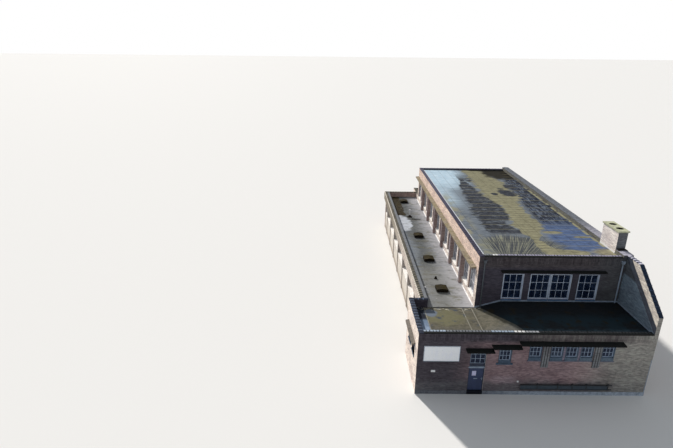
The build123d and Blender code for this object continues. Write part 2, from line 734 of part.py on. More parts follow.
def hall_copings():
    inner_x = HALL_EAST_X - HALL_EAST_WALL - COPING_OVERHANG
    west = block(
        HALL_WEST_X - COPING_OVERHANG, HALL_WEST_X + HALL_WEST_BAND + COPING_OVERHANG,
        HALL_FRONT_Y - COPING_OVERHANG, HALL_REAR_Y + COPING_OVERHANG,
        HALL_WALL_TOP, HALL_TOP,
    )
    north = block(
        HALL_WEST_X, inner_x,
        HALL_INNER_REAR_Y - COPING_OVERHANG, HALL_REAR_Y + COPING_OVERHANG,
        HALL_WALL_TOP, HALL_TOP,
    )
    save("hall_coping", west + north)
    outer_x = HALL_EAST_X + COPING_OVERHANG
    chimney_y = HALL_FRONT_Y + CHIMNEY_START
    tiles = block(
        inner_x, outer_x, HALL_FRONT_Y, HALL_REAR_Y + COPING_OVERHANG,
        EAST_COPING_TOP - COPING_THICKNESS, EAST_COPING_TOP,
    )
    tiles -= block(
        inner_x, outer_x, chimney_y, chimney_y + CHIMNEY_LENGTH,
        EAST_COPING_TOP - COPING_THICKNESS, EAST_COPING_TOP,
    )
    save("hall_east_coping", tiles)


def chimney():
    x0 = HALL_EAST_X - HALL_EAST_WALL
    y0 = HALL_FRONT_Y + CHIMNEY_START
    y1 = y0 + CHIMNEY_LENGTH
    stack = block(x0, HALL_EAST_X, y0, y1, EAST_COPING_TOP - COPING_THICKNESS, CHIMNEY_TOP)
    save("chimney", stack)
    cap = block(
        x0 - CAP_OVERHANG, HALL_EAST_X + CAP_OVERHANG, y0 - CAP_OVERHANG, y1 + CAP_OVERHANG,
        CHIMNEY_TOP, CHIMNEY_TOP + CAP_THICKNESS,
    )
    middle_x = HALL_EAST_X - HALL_EAST_WALL / 2
    spacing = CHIMNEY_LENGTH / FLUES
    for index in range(FLUES):
        flue_y = y0 + spacing * (index + 1 / 2)
        place = Pos(middle_x, flue_y, CHIMNEY_TOP + CAP_THICKNESS - FLUE_DEPTH / 2)
        cap -= place * Cylinder(FLUE_RADIUS, FLUE_DEPTH)
    save("chimney_cap", cap)


def downpipes():
    pipes = []
    places = (
        (HALL_WEST_X + DOWNPIPE_WEST, WEST_ROOF_LEVEL),
        (EAST_INNER_X - DOWNPIPE_EAST, EAST_ROOF_LEVEL),
    )
    y = HALL_FRONT_Y - DOWNPIPE_STAND_OFF - DOWNPIPE_RADIUS
    for pipe_x, foot in places:
        start = foot + DOWNPIPE_CLEAR
        length = DOWNPIPE_TOP - start
        pipe = Pos(pipe_x, y, start + length / 2) * Cylinder(DOWNPIPE_RADIUS, length)
        for index in range(DOWNPIPE_CLIPS):
            level = start + length * (index + 1 / 2) / DOWNPIPE_CLIPS
            pipe += block(
                pipe_x - DOWNPIPE_CLIP / 2, pipe_x + DOWNPIPE_CLIP / 2, y, HALL_FRONT_Y,
                level - DOWNPIPE_CLIP / 2, level + DOWNPIPE_CLIP / 2,
            )
        pipes.append(pipe)
    save("downpipes", *pipes)


def wing_piers_y():
    """South edge of each pier between the wing's windows, in equal bays."""
    first = RETURN_END_Y + WING_FIRST_PIER
    bay = (WING_INNER_END_Y - WING_LAST_PIER - first) / (WING_PIERS - 1)
    return [first + bay * index for index in range(WING_PIERS)]


def wing_windows_y():
    """South and north edge of each of the wing's windows."""
    starts = [RETURN_END_Y + WING_SOUTH_PIER] + [y + WING_PIER for y in wing_piers_y()]
    return list(zip(starts, wing_piers_y() + [WING_INNER_END_Y - WING_END_PIER]))


def wing_walls():
    """The wing's west side: a low wall, piers a little proud of it, sloping sills and a deep band."""
    save("wing_wall", block(WING_FACE_X, WING_INNER_X, RETURN_END_Y, WING_INNER_END_Y, 0, WING_SILL))
    ends = (
        (RETURN_END_Y, RETURN_END_Y + WING_SOUTH_PIER),
        (WING_INNER_END_Y - WING_END_PIER, WING_INNER_END_Y),
    )
    piers = [block(WING_FACE_X, WING_INNER_X, y0, y1, WING_SILL, WING_BAND_FOOT) for y0, y1 in ends]
    for y in wing_piers_y():
        pier = block(WING_FACE_X, WING_INNER_X, y, y + WING_PIER, WING_SILL, WING_BAND_FOOT)
        piers.append(pier + block(WING_PIER_X, WING_FACE_X, y, y + WING_PIER, 0, WING_BAND_FOOT))
    save("wing_piers", *piers)
    sills = [
        sloping_sill(WING_FACE_X, WING_INNER_X, WING_SILL, WING_SILL_RISE, y0, y1)
        for y0, y1 in wing_windows_y()
    ]
    save("wing_sills", *sills)
    band = block(WING_WEST_X, WING_PARAPET_X, RETURN_END_Y, WING_END_Y, WING_BAND_FOOT, ANNEXE_WALL_TOP)
    lintel = block(
        WING_PARAPET_X, WING_INNER_X, RETURN_END_Y, WING_INNER_END_Y, WING_BAND_FOOT, WING_DECK_FOOT,
    )
    save("wing_band", band, lintel)
    end = block(WING_PIER_X, HALL_WEST_X, WING_INNER_END_Y, WING_END_Y, 0, WING_BAND_FOOT)
    end += block(WING_PARAPET_X, HALL_WEST_X, WING_INNER_END_Y, WING_END_Y, WING_BAND_FOOT, ANNEXE_WALL_TOP)
    save("wing_end_wall", end)


def wing_roof():
    deck = block(
        WING_PARAPET_X, HALL_WEST_X, RETURN_END_Y, WING_INNER_END_Y, WING_DECK_FOOT, WING_ROOF_LEVEL,
    )
    deck += block(
        LOW_WALL + RETURN_LENGTH, HALL_WEST_X, ANNEXE_DEPTH, RETURN_END_Y, WING_DECK_FOOT, WING_ROOF_LEVEL,
    )
    save("wing_roof", deck)
    inner_x = WING_PARAPET_X + COPING_OVERHANG
    west = block(
        WING_WEST_X - COPING_OVERHANG, inner_x,
        RETURN_END_Y + COPING_OVERHANG, WING_END_Y + COPING_OVERHANG, ANNEXE_WALL_TOP, ANNEXE_TOP,
    )
    end = block(
        inner_x, HALL_WEST_X,
        WING_INNER_END_Y - COPING_OVERHANG, WING_END_Y + COPING_OVERHANG, ANNEXE_WALL_TOP, ANNEXE_TOP,
    )
    save("wing_coping", west + end)


def rooflight_step_y(step):
    """Where a step of the wing's rooflights begins."""
    first = ANNEXE_DEPTH + ROOFLIGHT_FROM_ANNEXE
    last = WING_INNER_END_Y - ROOFLIGHT_FROM_END
    return first + (last - first) * step / ROOFLIGHT_STEPS[-1]


def rooflights():
    lights = []
    x0 = ROOFLIGHT_WEST_X
    x1 = x0 + ROOFLIGHT_WIDTH
    for step in ROOFLIGHT_STEPS:
        y = rooflight_step_y(step)
        kerb = block(x0, x1, y, y + ROOFLIGHT_LENGTH, WING_ROOF_LEVEL, WING_ROOF_LEVEL + ROOFLIGHT_HEIGHT)
        crown = [
            (x0, WING_ROOF_LEVEL + ROOFLIGHT_HEIGHT), (x1, WING_ROOF_LEVEL + ROOFLIGHT_HEIGHT),
            ((x0 + x1) / 2, WING_ROOF_LEVEL + ROOFLIGHT_HEIGHT + ROOFLIGHT_CROWN),
        ]
        lights.append(kerb + along_y(crown, y, y + ROOFLIGHT_LENGTH))
    save("rooflights", *lights)


def roof_vent():
    y = rooflight_step_y(VENT_STEP) + VENT_BEYOND_STEP
    pipe = Pos(VENT_X, y, WING_ROOF_LEVEL + VENT_HEIGHT / 2) * Cylinder(VENT_RADIUS, VENT_HEIGHT)
    cowl = Pos(VENT_X, y, WING_ROOF_LEVEL + VENT_HEIGHT) * Cylinder(COWL_RADIUS, COWL_HEIGHT)
    save("roof_vent", pipe + cowl)


def rear_block():
    inner_y = REAR_END_Y - LOW_WALL
    west = block(HALL_WEST_X, HALL_WEST_X + LOW_WALL, HALL_REAR_Y, inner_y, 0, ANNEXE_WALL_TOP)
    east = block(REAR_INNER_X, HALL_EAST_X, HALL_REAR_Y, inner_y, 0, ANNEXE_WALL_TOP)
    save("rear_side_walls", west, east)
    north = block(HALL_WEST_X, HALL_EAST_X, inner_y, REAR_END_Y, 0, ANNEXE_WALL_TOP)
    for x0, x1 in end_windows_x():
        north -= block(x0, x1, inner_y, REAR_END_Y, REAR_WINDOW_SILL, REAR_WINDOW_HEAD)
    save("rear_wall", north)
    deck = block(
        HALL_WEST_X + LOW_WALL, REAR_INNER_X, HALL_REAR_Y, inner_y,
        WEST_ROOF_LEVEL - LOW_DECK, WEST_ROOF_LEVEL,
    )
    save("rear_roof", deck)
    coping = block(
        HALL_WEST_X, HALL_EAST_X + COPING_OVERHANG,
        HALL_REAR_Y, REAR_REACH, ANNEXE_WALL_TOP, ANNEXE_TOP,
    )
    coping -= block(
        HALL_WEST_X + LOW_WALL + COPING_OVERHANG, REAR_INNER_X - COPING_OVERHANG,
        HALL_REAR_Y, inner_y - COPING_OVERHANG, ANNEXE_WALL_TOP, ANNEXE_TOP,
    )
    save("rear_coping", coping)


def ground_floor():
    floor = block(LOW_WALL, EAST_INNER_X, LOW_WALL, ANNEXE_DEPTH, 0, FLOOR_LEVEL)
    hall_x0 = HALL_WEST_X + HALL_WEST_WALL
    hall_x1 = HALL_EAST_X - HALL_EAST_WALL
    floor += block(hall_x0, hall_x1, ANNEXE_DEPTH, HALL_REAR_Y, 0, FLOOR_LEVEL)
    floor += block(WING_INNER_X, HALL_WEST_X, RETURN_END_Y, WING_INNER_END_Y, 0, FLOOR_LEVEL)
    floor += block(LOW_WALL + RETURN_LENGTH, HALL_WEST_X, ANNEXE_DEPTH, RETURN_END_Y, 0, FLOOR_LEVEL)
    floor += block(HALL_WEST_X + LOW_WALL, REAR_INNER_X, HALL_REAR_Y, REAR_END_Y - LOW_WALL, 0, FLOOR_LEVEL)
    save("ground_floor", floor)


os.makedirs("parts", exist_ok=True)
front_walls()
front_plinth()
annexe_side_walls()
raking_coping()
annexe_roof()
front_copings()
annexe_west_coping()
canopies()
annexe_windows()
window_aprons()
ribbed_piers()
sign_board()
wall_rail()
street_door()
hall_end_walls()
hall_west_side()
hall_east_side()
side_glass()
hall_roof()
hall_copings()
chimney()
downpipes()
wing_walls()
wing_roof()
rooflights()
roof_vent()
rear_block()
ground_floor()
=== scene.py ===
import math
import random

import bmesh
import bpy
from mathutils import Matrix, Vector


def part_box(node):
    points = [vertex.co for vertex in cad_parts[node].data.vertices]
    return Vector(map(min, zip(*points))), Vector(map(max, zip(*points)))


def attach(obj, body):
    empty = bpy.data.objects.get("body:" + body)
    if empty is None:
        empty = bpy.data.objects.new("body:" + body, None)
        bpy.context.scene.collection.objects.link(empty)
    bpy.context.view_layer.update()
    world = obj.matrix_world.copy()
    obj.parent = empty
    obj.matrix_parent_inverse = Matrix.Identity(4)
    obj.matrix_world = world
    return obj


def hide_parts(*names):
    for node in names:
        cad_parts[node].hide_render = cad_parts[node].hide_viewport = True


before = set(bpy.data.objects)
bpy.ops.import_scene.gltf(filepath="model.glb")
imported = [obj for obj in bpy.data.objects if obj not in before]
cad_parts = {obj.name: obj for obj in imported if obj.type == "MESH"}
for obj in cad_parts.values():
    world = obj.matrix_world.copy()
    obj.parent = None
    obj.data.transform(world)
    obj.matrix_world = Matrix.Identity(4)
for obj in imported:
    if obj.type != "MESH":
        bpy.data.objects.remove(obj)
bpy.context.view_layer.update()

# Everything is drawn in metres from the foot of the street front's west corner: x runs east
# along the street, y away from it and z up. SITE moves it into the model's own frame.
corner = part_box("front_wall_west")[0]
SITE = Vector((corner.x, corner.y, 0))
BUILDING = "building"
DOOR = "street_door"


def paint(red, green, blue):
    """A colour given as it is seen on a screen, as the linear one that a shader takes."""
    levels = []
    for level in (red, green, blue):
        share = level / 255
        levels.append(share / 12.92 if share <= 0.04045 else ((share + 0.055) / 1.055) ** 2.4)
    return (*levels, 1)


# Camera: where it stands, and how it is turned, in radians
CAMERA_PLACE = (-5.962, -30.207, 24.094)
CAMERA_YAW = 0.0016
CAMERA_PITCH = 0.3432
CAMERA_ROLL = 0.0105
IMAGE_WIDTH = 673
FOCAL_PIXELS = 492.18
SENSOR_WIDTH = 36

# Light
SUN_BEARING = (-0.44, 0.90)
SUN_ELEVATION = math.radians(35)
SUN_STRENGTH = 4.0
SUN_COLOUR = (1.0, 0.95, 0.88)
SUN_SOFTNESS = math.radians(3)
SKY_STRENGTH = 0.4
SKY_COLOUR = (0.90, 0.95, 1.0, 1)
SHADOW_LEAN = -SUN_BEARING[0] / SUN_BEARING[1]
FLOOR_SIZE = 3000
FLOOR_COLOUR = (0.80, 0.80, 0.80, 1)

# Surfaces: how strongly they mirror, and how fine the grain of stone is
BRICK_GLOSS = 0.15
STONE_GLOSS = 0.15
HALL_FELT_GLOSS = 0.03
WING_FELT_GLOSS = 0.04
ANNEXE_FELT_GLOSS = 0.08
STONE_GRAIN = 45

# Brickwork
BRICK_LENGTH = 0.22
COURSE_HEIGHT = 0.065
JOINT = 0.005
SHARP = 0.002
BRICK_LIGHTER = (0.5, 0.44, 0.36)
BRICK_DARKER = (0.6, 0.66, 0.62)
STREET_SOLDIERS = (4.55, 5.2)
STREET_DEPTH = 0.5
HALL_SOLDIERS = (8.28, 9.0)
HALL_FROM = 4.5

# Where the street front's colours begin and where they are full, along the street and by height
STREET_PINK = (2.6, 6.6)
STREET_BUFF = (11.6, 15.2)
STREET_BRIGHT = (11.2, 13.2)
EAVES_DARK = (7.0, 9.0)
EAVES_BUFF = (14.6, 16.0)
EAVES_LEVEL = (4.4, 5.0)
FOOT_LEVEL = (1.2, 2.0)
FOOT_CLEAN = (12.5, 15.5)
POSTS_X = (10.4, 11.8)
POSTS_Z = (2.95, 4.45)
WASHED_X = (5.6, 7.4)
WASHED_Z = (1.0, 1.6)

# Where the colours of the other walls change: how deep under the raking slope, by height, along x
# or along y
# The raking wall's depths bound a painted sunlit strip under its slope, a painted shade belt below it and
# cool painted shade further down.
RAKE_LIT_DEPTH = (0.68, 0.76)
RAKE_BELT_DEPTH = (1.35, 1.55)
RAKE_SHADE_DEPTH = (1.30, 1.45)
RAKE_END = 4.98
EAST_WALLS_FROM = 16.0
BEHIND_STREET = 2.0
HALL_EAVES_LEVEL = (7.8, 8.2)
HALL_EAST = (13.5, 16.0)
MIDDLE_WEST_LEVEL = (3.0, 5.0)
HIGH_WEST_LEVEL = (7.0, 7.7)
PIERS_TO = 5.78
PIERS_FROM = 5.4
PROJECTING_X = (4.95, 5.1)
PROJECTING_FROM = 5.3
WING_BACK = (14.0, 27.0)
WING_PIER_LEVEL = (1.5, 2.6)
WING_PARAPET_LEVEL = (4.15, 4.25)

# Colours of the brick, by wall and by height
STREET_WEST_BRICK = paint(76, 73, 82)
STREET_MIDDLE_BRICK = paint(152, 133, 138)
STREET_BRIGHT_BRICK = paint(176, 156, 158)
STREET_EAST_BRICK = paint(162, 163, 158)
STREET_EAVES_BRICK = paint(118, 116, 116)
STREET_FOOT_BRICK = paint(104, 106, 112)
POST_BRICK = paint(146, 142, 160)
WASHED_BRICK = paint(178, 164, 172)
HALL_SOUTH_BRICK = paint(78, 77, 90)
HALL_EAVES_BRICK = paint(84, 81, 86)
HALL_EAST_BRICK = paint(92, 96, 102)
# PIER_SOUTH_BRICK is painted light: pale, standing in for light thrown from the wing's roof onto the hall
# piers' south faces.
PIER_SOUTH_BRICK = paint(186, 166, 160)
# The west colours are painted paler than the brick, as painted sunlight.
LOW_WEST_BRICK = paint(246, 236, 226)
MIDDLE_WEST_BRICK = paint(255, 246, 236)
HIGH_WEST_BRICK = paint(240, 220, 206)
PROJECTING_BRICK = paint(156, 148, 152)
# Painted sunlight and shade on the raking wall's inner side: a lit strip, a dark belt, dark brick and cool
# shade.
RAKE_LIT_BRICK = paint(228, 224, 214)
RAKE_DARK_BRICK = paint(92, 100, 108)
RAKE_BELT_BRICK = paint(54, 62, 76)
RAKE_SHADE_BRICK = paint(128, 149, 167)
INNER_EAST_BRICK = paint(120, 122, 116)
OTHER_BRICK = paint(158, 138, 126)
MORTAR = paint(150, 148, 142)
WING_PARAPET_BRICK = paint(212, 204, 194)
WING_BACK_BRICK = paint(148, 142, 128)
WING_PIER_FOOT_BRICK = paint(190, 182, 174)
WING_PIER_BRICK = paint(152, 150, 146)
# WING_SOUTH_BRICK is painted shade: the wing's south faces are painted darker.
WING_SOUTH_BRICK = paint(176, 170, 162)
WING_OTHER_BRICK = paint(206, 198, 188)

# Colours of the hall's roof
ROOF_GREY = paint(82, 89, 98)
ROOF_PALE = paint(118, 126, 136)
# ROOF_SKY and ROOF_WHITE_SKY are a painted reflection of the sky in water.
ROOF_SKY = paint(160, 188, 208)
ROOF_WHITE_SKY = paint(196, 214, 228)
ROOF_RAY_DARK = paint(62, 66, 74)
ROOF_RAY_PALE = paint(132, 133, 118)
# ROOF_BLUE and ROOF_NAVY are a painted sky reflection on wet felt.
ROOF_BLUE = paint(88, 108, 146)
ROOF_NAVY = paint(64, 76, 104)
ROOF_PURPLE = paint(32, 36, 48)
ROOF_PALE_BLUE = paint(94, 104, 120)
ROOF_DARK = paint(30, 32, 40)
ROOF_DAMP = paint(78, 83, 92)
ROOF_NEAR_BLACK = paint(14, 14, 12)
ROOF_BROWN = paint(34, 31, 20)
ROOF_SOUTH_EAST = paint(112, 106, 96)
ROOF_MOSS = paint(104, 102, 82)
ROOF_PALE_MOSS = paint(148, 145, 120)

# Belts along the hall's roof: at some places along it, where the belt's middle or edge lies and
# half its width. A spot is its middle, x and y, and how far it reaches either way.
BLUE_EDGE = ((5, 13.6), (8, 12.2), (13, 13.1), (21, 13.7), (28.5, 14.6), (32, 15.6), (35, 16.4))
DARK_MIDDLE = ((11, 9.3), (13, 8.7), (15, 9.4), (18, 9.7), (21, 9.7), (24.5, 9.4), (29, 9.6))
DARK_HALF = ((11, 1.6), (13, 1.2), (15, 1.7), (18, 1.9), (21, 1.6), (24.5, 1.0), (29, 0.3))
DARK_SPOTS = ((10.4, 30.6, 0.8, 2.2), (9.4, 25.2, 0.9, 1.1), (10.7, 10.9, 0.8, 0.9))
MOSS_MIDDLE = ((5, 12.4), (7.5, 11.3), (9, 11.2), (13, 11.8), (16, 12.1), (19, 12.2), (28, 12.6), (35, 12.2))
MOSS_HALF = ((5, 1.5), (7.5, 0.6), (9, 0.3), (13, 1.5), (16, 1.0), (19, 1.0), (22, 1.9), (28, 1.9),
             (35, 1.3))
MOSS_SPOTS = ((13.3, 10.9, 0.9, 0.4), (15.5, 9.8, 0.8, 0.25), (12.9, 6.2, 1.7, 0.6))
DAMP_SPOTS = ((11.9, 23.2, 0.4, 0.5), (13.4, 23.6, 0.9, 1.3), (14.6, 26.3, 0.7, 1.0), (13.2, 25.3, 0.4, 0.3))
# WATER marks where the painted sky reflection lies.
WATER = (6.9, 32.0, 3.2, 7.0)
RAYS = (9.4, 7.4, 3.4, 2.7)
RAYS_FROM = (7.0, 2.5)
BLACK_CORNER = (15.3, 32.8, 2.2, 3.0)
STREET_CORNER = (16.2, 6.2, 1.4, 1.0)
FELT_STEP = 0.65
SHEET_HALF = 0.55
HALL_DRAWN = (0.45, 1.6, 1)
WING_DRAWN = (0.6, 1.2, 1)
ANNEXE_SEAMS = (1.2, 4.25, 5.03)
ANNEXE_MOSS = (2.6, 3.4, 1.5, 1.1)
ANNEXE_POOL = (1.6, 4.1, 0.5, 0.6)
WING_LIGHT = (2.1, 17.0, 0.6, 3.6)
WING_POOL = (1.9, 25.4, 1.2, 2.7)
WING_RUN = (3.5, 26.6, 0.9, 0.35)
WING_STAIN_FROM = (28.1, 28.35)
WING_STAIN_TO = (3.2, 3.4)
SOOT_SHARES = (0.29, 0.71)

# Copings
TILE_PITCH = 0.42
WING_TILE_PITCH = 0.34
TOP_TILE_PITCH = 0.36
TOP_ROLL_LENGTH = 0.14
TILE_JOINT = 0.012
TILE_SHOULDER = 0.62
TILE_LIFT = 0.003
COPING_LIP = 0.008
ROLL_LENGTH = 0.07
ROLL_PROUD = 0.016
ROLL_SUNK = 0.01
EDGE_STRIP = 0.06
FELT_THICKNESS = 0.015

# Strips along the rear of the front copings: how far east each look reaches
STREET_EDGE = ((1.8, "light_pipe"), (5.2, "edge_grey"), (6.8, "light_pipe"), (8.4, "lead"), (99, "rail"))
HALL_EDGE = ((6.3, "edge_grey"), (6.7, "lead"), (99, "edge_lilac"))
EDGE_DASH = 0.18
EDGE_GAP = 0.05
EDGE_DEPTH = 0.20
EDGE_PROUD = 0.008

# Rounded edges, and how close two corners have to be to count as level
STRIP_BEVEL = 0.002
BAR_BEVEL = 0.003
BOARD_BEVEL = 0.004
PANE_BEVEL = 0.005
SILL_BEVEL = 0.006
KERB_BEVEL = 0.01
NEAR = 0.001

# Window frames and bars
COLUMNS = 3
ROWS = 3
LOW_ROWS = 2
RING = 0.06
BAR = 0.032
CASEMENT = 0.03
BAR_DEPTH = 0.04
BAR_INSET = 0.012
BAR_STEP = 0.004
SIDE_FRAME = 0.07
WEST_SETBACK = 0.13
WEST_FRAME_FOOT = 0.14
PANE_THICKNESS = 0.006
WING_PANE_WIDTH = 0.95
LEAST_COLUMNS = 2
LEAST_GAP = 0.5

# Boards, sills and jambs round the windows
SIDE_BOARD = 0.035
SIDE_BOARD_PROUD = 0.05
RAIL_DEPTH = 0.04
CLASS_WINDOWS_FROM = 2.0
SILL_BEYOND = 0.10
SILL_PROUD = 0.06
SILL_DEPTH = 0.06
EAST_SILL_PROUD = 0.05
EAST_SILL_EDGE = 0.05
EAST_SILL_RISE = 0.18
EAST_SILL_GAP = 0.002
JAMB = 0.05
JAMB_PROUD = 0.02
DRIP_BAR = 0.10
DRIP_BAR_PROUD = 0.05
DRIP_BAR_ABOVE = 0.02
DRIP_BAR_LIP = 0.7

# Street door: the handle's parts are measured from the middle of its plate, the letter plate from
# the middle of the leaf at the same height, and the notice from the leaf's low hinge corner
STILE = 0.11
BOARD_PROUD = 0.012
BOARD_COUNT = 6
BOARD_GAP = 0.004
DOOR_RAILS = ((0.0, 0.20), (0.42, 0.14), (1.0, 0.12))
GRIP_HEIGHT = 1.0
HANDLE = (
    ((-0.02, -0.006, -0.11), (0.02, 0, 0.11)),
    ((-0.12, -0.050, 0.03), (0.01, -0.034, 0.05)),
    ((-0.01, -0.034, 0.03), (0.01, 0, 0.05)),
)
LETTER_PLATE = ((-0.14, -0.006, -0.04), (0.14, 0, 0.03))
NOTICE = ((0.24, -0.003, 1.26), (0.54, 0, 1.66))

# Roof fittings and flashings
ROOFLIGHT_CROWN = 0.07
ROOFLIGHT_LIP = 0.03
ROOFLIGHT_PANES = 3
PIPE_RADIUS = 0.075
PIPE_BELOW = 0.16
SMALL_VENT_PLACE = (3.15, 10.18)
OUTLET_PLACE = (1.84, 8.37)
FLUE_RADIUS = 0.19
FLASHING = 0.012
UPSTAND = 0.13
LEAD_HEIGHT = 0.06
LEAD_REACH = 0.09
FRONT_SETBACK = 0.3
ROOF_EDGE_WIDTH = 0.2
ROOF_EDGE_HEIGHT = 0.03
SOOT_REACH = 0.45

# Round fittings, each a row of radii and levels: the cowl's are below its top, the lining's from
# the chimney's top, and the others' above the roof
COWL = ((0.09, 0.22), (0.13, 0.17), (0.13, 0.10), (0.03, 0.0))
SKIRT = ((0.36, 0.0), (0.30, 0.03), (0.12, 0.18), (0.09, 0.26))
SMALL_VENT = ((0.16, 0.0), (0.12, 0.05), (0.07, 0.22), (0.0, 0.26))
OUTLET = ((0.10, 0.0), (0.10, 0.08), (0.0, 0.11))
FLUE_LINING = ((FLUE_RADIUS, -0.085), (FLUE_RADIUS, -0.07), (0.10, -0.07), (0.10, -0.08))

# Wall fittings
BOARD_RIM = 0.03
PLATE = ((1.08, -0.015, 1.91), (1.39, 0.0, 2.08))
LAMP = ((7.45, -0.06, 1.11), (7.57, 0.0, 1.23))
CORNER_STRIP = ((-0.06, -0.012, 0.3), (-0.02, 0, 3.1))
PANEL_INSET = 0.04
PANEL_DEPTH = (0.02, 0.032)
PANEL_LEVELS = (0.06, 0.36)
PIPE_SIDES = 20
PIPE_SKIN = 0.003
HOPPER_HEIGHT = 0.25
HOPPER_FOOT = 0.07
HOPPER_TOP = 0.14
HOPPER_PROUD = 0.09
COLLAR_PROUD = 0.008
COLLAR_HALF = 0.04
COLLAR_SHARES = (1 / 6, 1 / 2, 5 / 6)

# Plain looks: a pale tone, a darker one for stains, and one for moss where there is any
STONES = {
    "hall_sill": ((90, 120, 158), (74, 99, 132)),
    "window_sill": ((124, 126, 142), (98, 102, 118)),
    "step": ((8, 14, 26), (6, 10, 18)),
    "mossy": ((154, 144, 128), (108, 99, 86), (130, 122, 94)),
    "hood": ((123, 117, 111), (96, 92, 88)),
    "slab": ((14, 18, 19), (8, 10, 11)),
    "slate_tiles": ((44, 50, 66), (32, 38, 52)),
    "slate_rolls": ((112, 124, 146), (84, 96, 116)),
    "wing_rolls": ((178, 170, 154), (128, 122, 108)),
    "top_tiles": ((206, 204, 220), (170, 170, 188)),
    "top_rolls": ((58, 66, 88), (44, 50, 70)),
    "navy_rolls": ((98, 98, 120), (70, 70, 90)),
    "rake_tiles": ((36, 50, 72), (26, 36, 52)),
    "rake_rolls": ((58, 76, 100), (40, 54, 74)),
    "upturn": ((126, 130, 136), (100, 104, 110)),
    "pale_sill": ((252, 248, 244), (228, 222, 216)),
    "kerb": ((26, 21, 13), (18, 14, 9)),
    "soot": ((8, 8, 8), (5, 5, 5)),
    "moss_glass": ((45, 38, 17), (29, 24, 11), (54, 47, 22)),
}
# Stone that changes along x or y: its roughness, the axis, from where to where, how unevenly, and
# the two tones at either end
GRADED_STONES = {
    "plinth": (0.9, "x", (3.5, 9.5), 0,
               ((112, 116, 124), (92, 96, 104)), ((178, 190, 205), (138, 150, 166))),
    "navy_tiles": (0.8, "y", (12, 27), 0,
                   ((48, 46, 66), (34, 32, 48)), ((84, 84, 104), (60, 60, 76))),
    "apron": (0.85, "x", (8.5, 12.5), 0,
              ((84, 102, 122), (72, 88, 106)), ((106, 122, 138), (90, 106, 122))),
    "east_tiles": (0.8, "y", (8, 17), 4,
                   ((184, 182, 196), (140, 140, 156)), ((112, 118, 128), (84, 86, 92))),
}
PAINTS = {
    "white": ((226, 228, 232), (196, 200, 206)),
    "hall_white": ((198, 211, 230), (156, 172, 196)),
    "blue_white": ((158, 176, 200), (128, 146, 168)),
    "dark_frame": ((42, 50, 70), (32, 38, 54)),
    "door": ((50, 63, 97), (41, 52, 82)),
    "board": ((246, 250, 255), (240, 245, 255)),
    "paper": ((206, 206, 238), (190, 190, 224)),
}
# The last number is how rough it is
METALS = {
    "rail": ((26, 32, 38), (40, 44, 48), 0.5),
    "panel": ((50, 64, 76), (38, 50, 62), 0.5),
    "pipe": ((82, 90, 100), (60, 66, 72), 0.5),
    "light_pipe": ((150, 166, 186), (120, 134, 152), 0.5),
    "edge_grey": ((104, 110, 118), (78, 84, 92), 0.7),
    "edge_lilac": ((150, 148, 172), (120, 118, 142), 0.7),
    "roof_edge": ((200, 205, 214), (180, 186, 196), 0.7),
    "lead": ((236, 236, 238), (206, 208, 212), 0.6),
}
GLASSES = {
    "glass": ((38, 46, 68), (64, 76, 96)),
    "end_glass": ((20, 32, 56), (44, 60, 86)),
    # The side glass is painted pale, as a painted reflection of the bright courtyard and sky.
    "side_glass": ((176, 178, 190), (140, 142, 154)),
}
# Brick of one piece: to the west, to the south and elsewhere. The chimney's pale west and blue-grey south
# are painted sunlight and painted shade.
PALE_BRICKS = {
    "chimney_brick": ((255, 250, 244), (116, 122, 128), (196, 186, 176)),
    "rib_brick": ((110, 114, 118), (132, 138, 143), (96, 100, 104)),
}

# Which nodes of the frame have which look
DRESSES = {
    "brick": ("front_wall_west", "front_wall_east", "front_wall_band", "front_window_piers",
              "front_window_fills", "annexe_west_wall", "raking_wall", "hall_front_wall",
              "hall_rear_wall", "hall_west_wall", "hall_west_piers", "hall_west_band", "hall_east_wall",
              "hall_east_piers", "hall_east_band", "wing_end_wall", "rear_side_walls", "rear_wall"),
    "chimney_brick": ("chimney",),
    "wing_brick": ("wing_band", "wing_piers"),
    "rib_brick": ("ribbed_piers",),
    "render": ("wing_wall",),
    "plinth": ("front_plinth",),
    "hall_sill": ("hall_end_sills",),
    "apron": ("window_aprons",),
    "step": ("entrance_step", "ground_floor"),
    "mossy": ("hall_west_ledge",),
    "hood": ("west_hood",),
    "cap": ("chimney_cap",),
    "slab": ("canopies", "front_copings"),
    "pale_sill": ("hall_west_sills", "wing_sills"),
    "blue_white": ("annexe_window_frames",),
    "hall_white": ("end_window_frames",),
    "dark_frame": ("door_frame",),
    "glass": ("annexe_glass",),
    "end_glass": ("end_glass",),
    "side_glass": ("side_glass",),
    "door": ("street_door",),
    "board": ("sign_board",),
    "rail": ("wall_rail",),
    "pipe": ("downpipes", "roof_vent"),
    "hall_felt": ("hall_roof",),
    "wing_felt": ("wing_roof",),
    "annexe_felt": ("annexe_roof",),
    "rear_felt": ("rear_roof",),
}


def site_box(node):
    """A node's lowest and highest corners on the site."""
    low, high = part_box(node)
    return low - SITE, high - SITE


def solids(node):
    """The lowest and highest corners of each separate solid in a node, on the site."""
    shape = bmesh.new()
    shape.from_mesh(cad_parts[node].data)
    bmesh.ops.remove_doubles(shape, verts=shape.verts, dist=1e-5)
    seen = set()
    boxes = []
    for start in shape.verts:
        if start in seen:
            continue
        seen.add(start)
        group = [start]
        for vertex in group:
            for edge in vertex.link_edges:
                other = edge.other_vert(vertex)
                if other not in seen:
                    seen.add(other)
                    group.append(other)
        low = Vector([min(v.co[axis] for v in group) for axis in range(3)])
        high = Vector([max(v.co[axis] for v in group) for axis in range(3)])
        boxes.append((low - SITE, high - SITE))
    shape.free()
    return sorted(boxes, key=lambda box: tuple(box[0]))


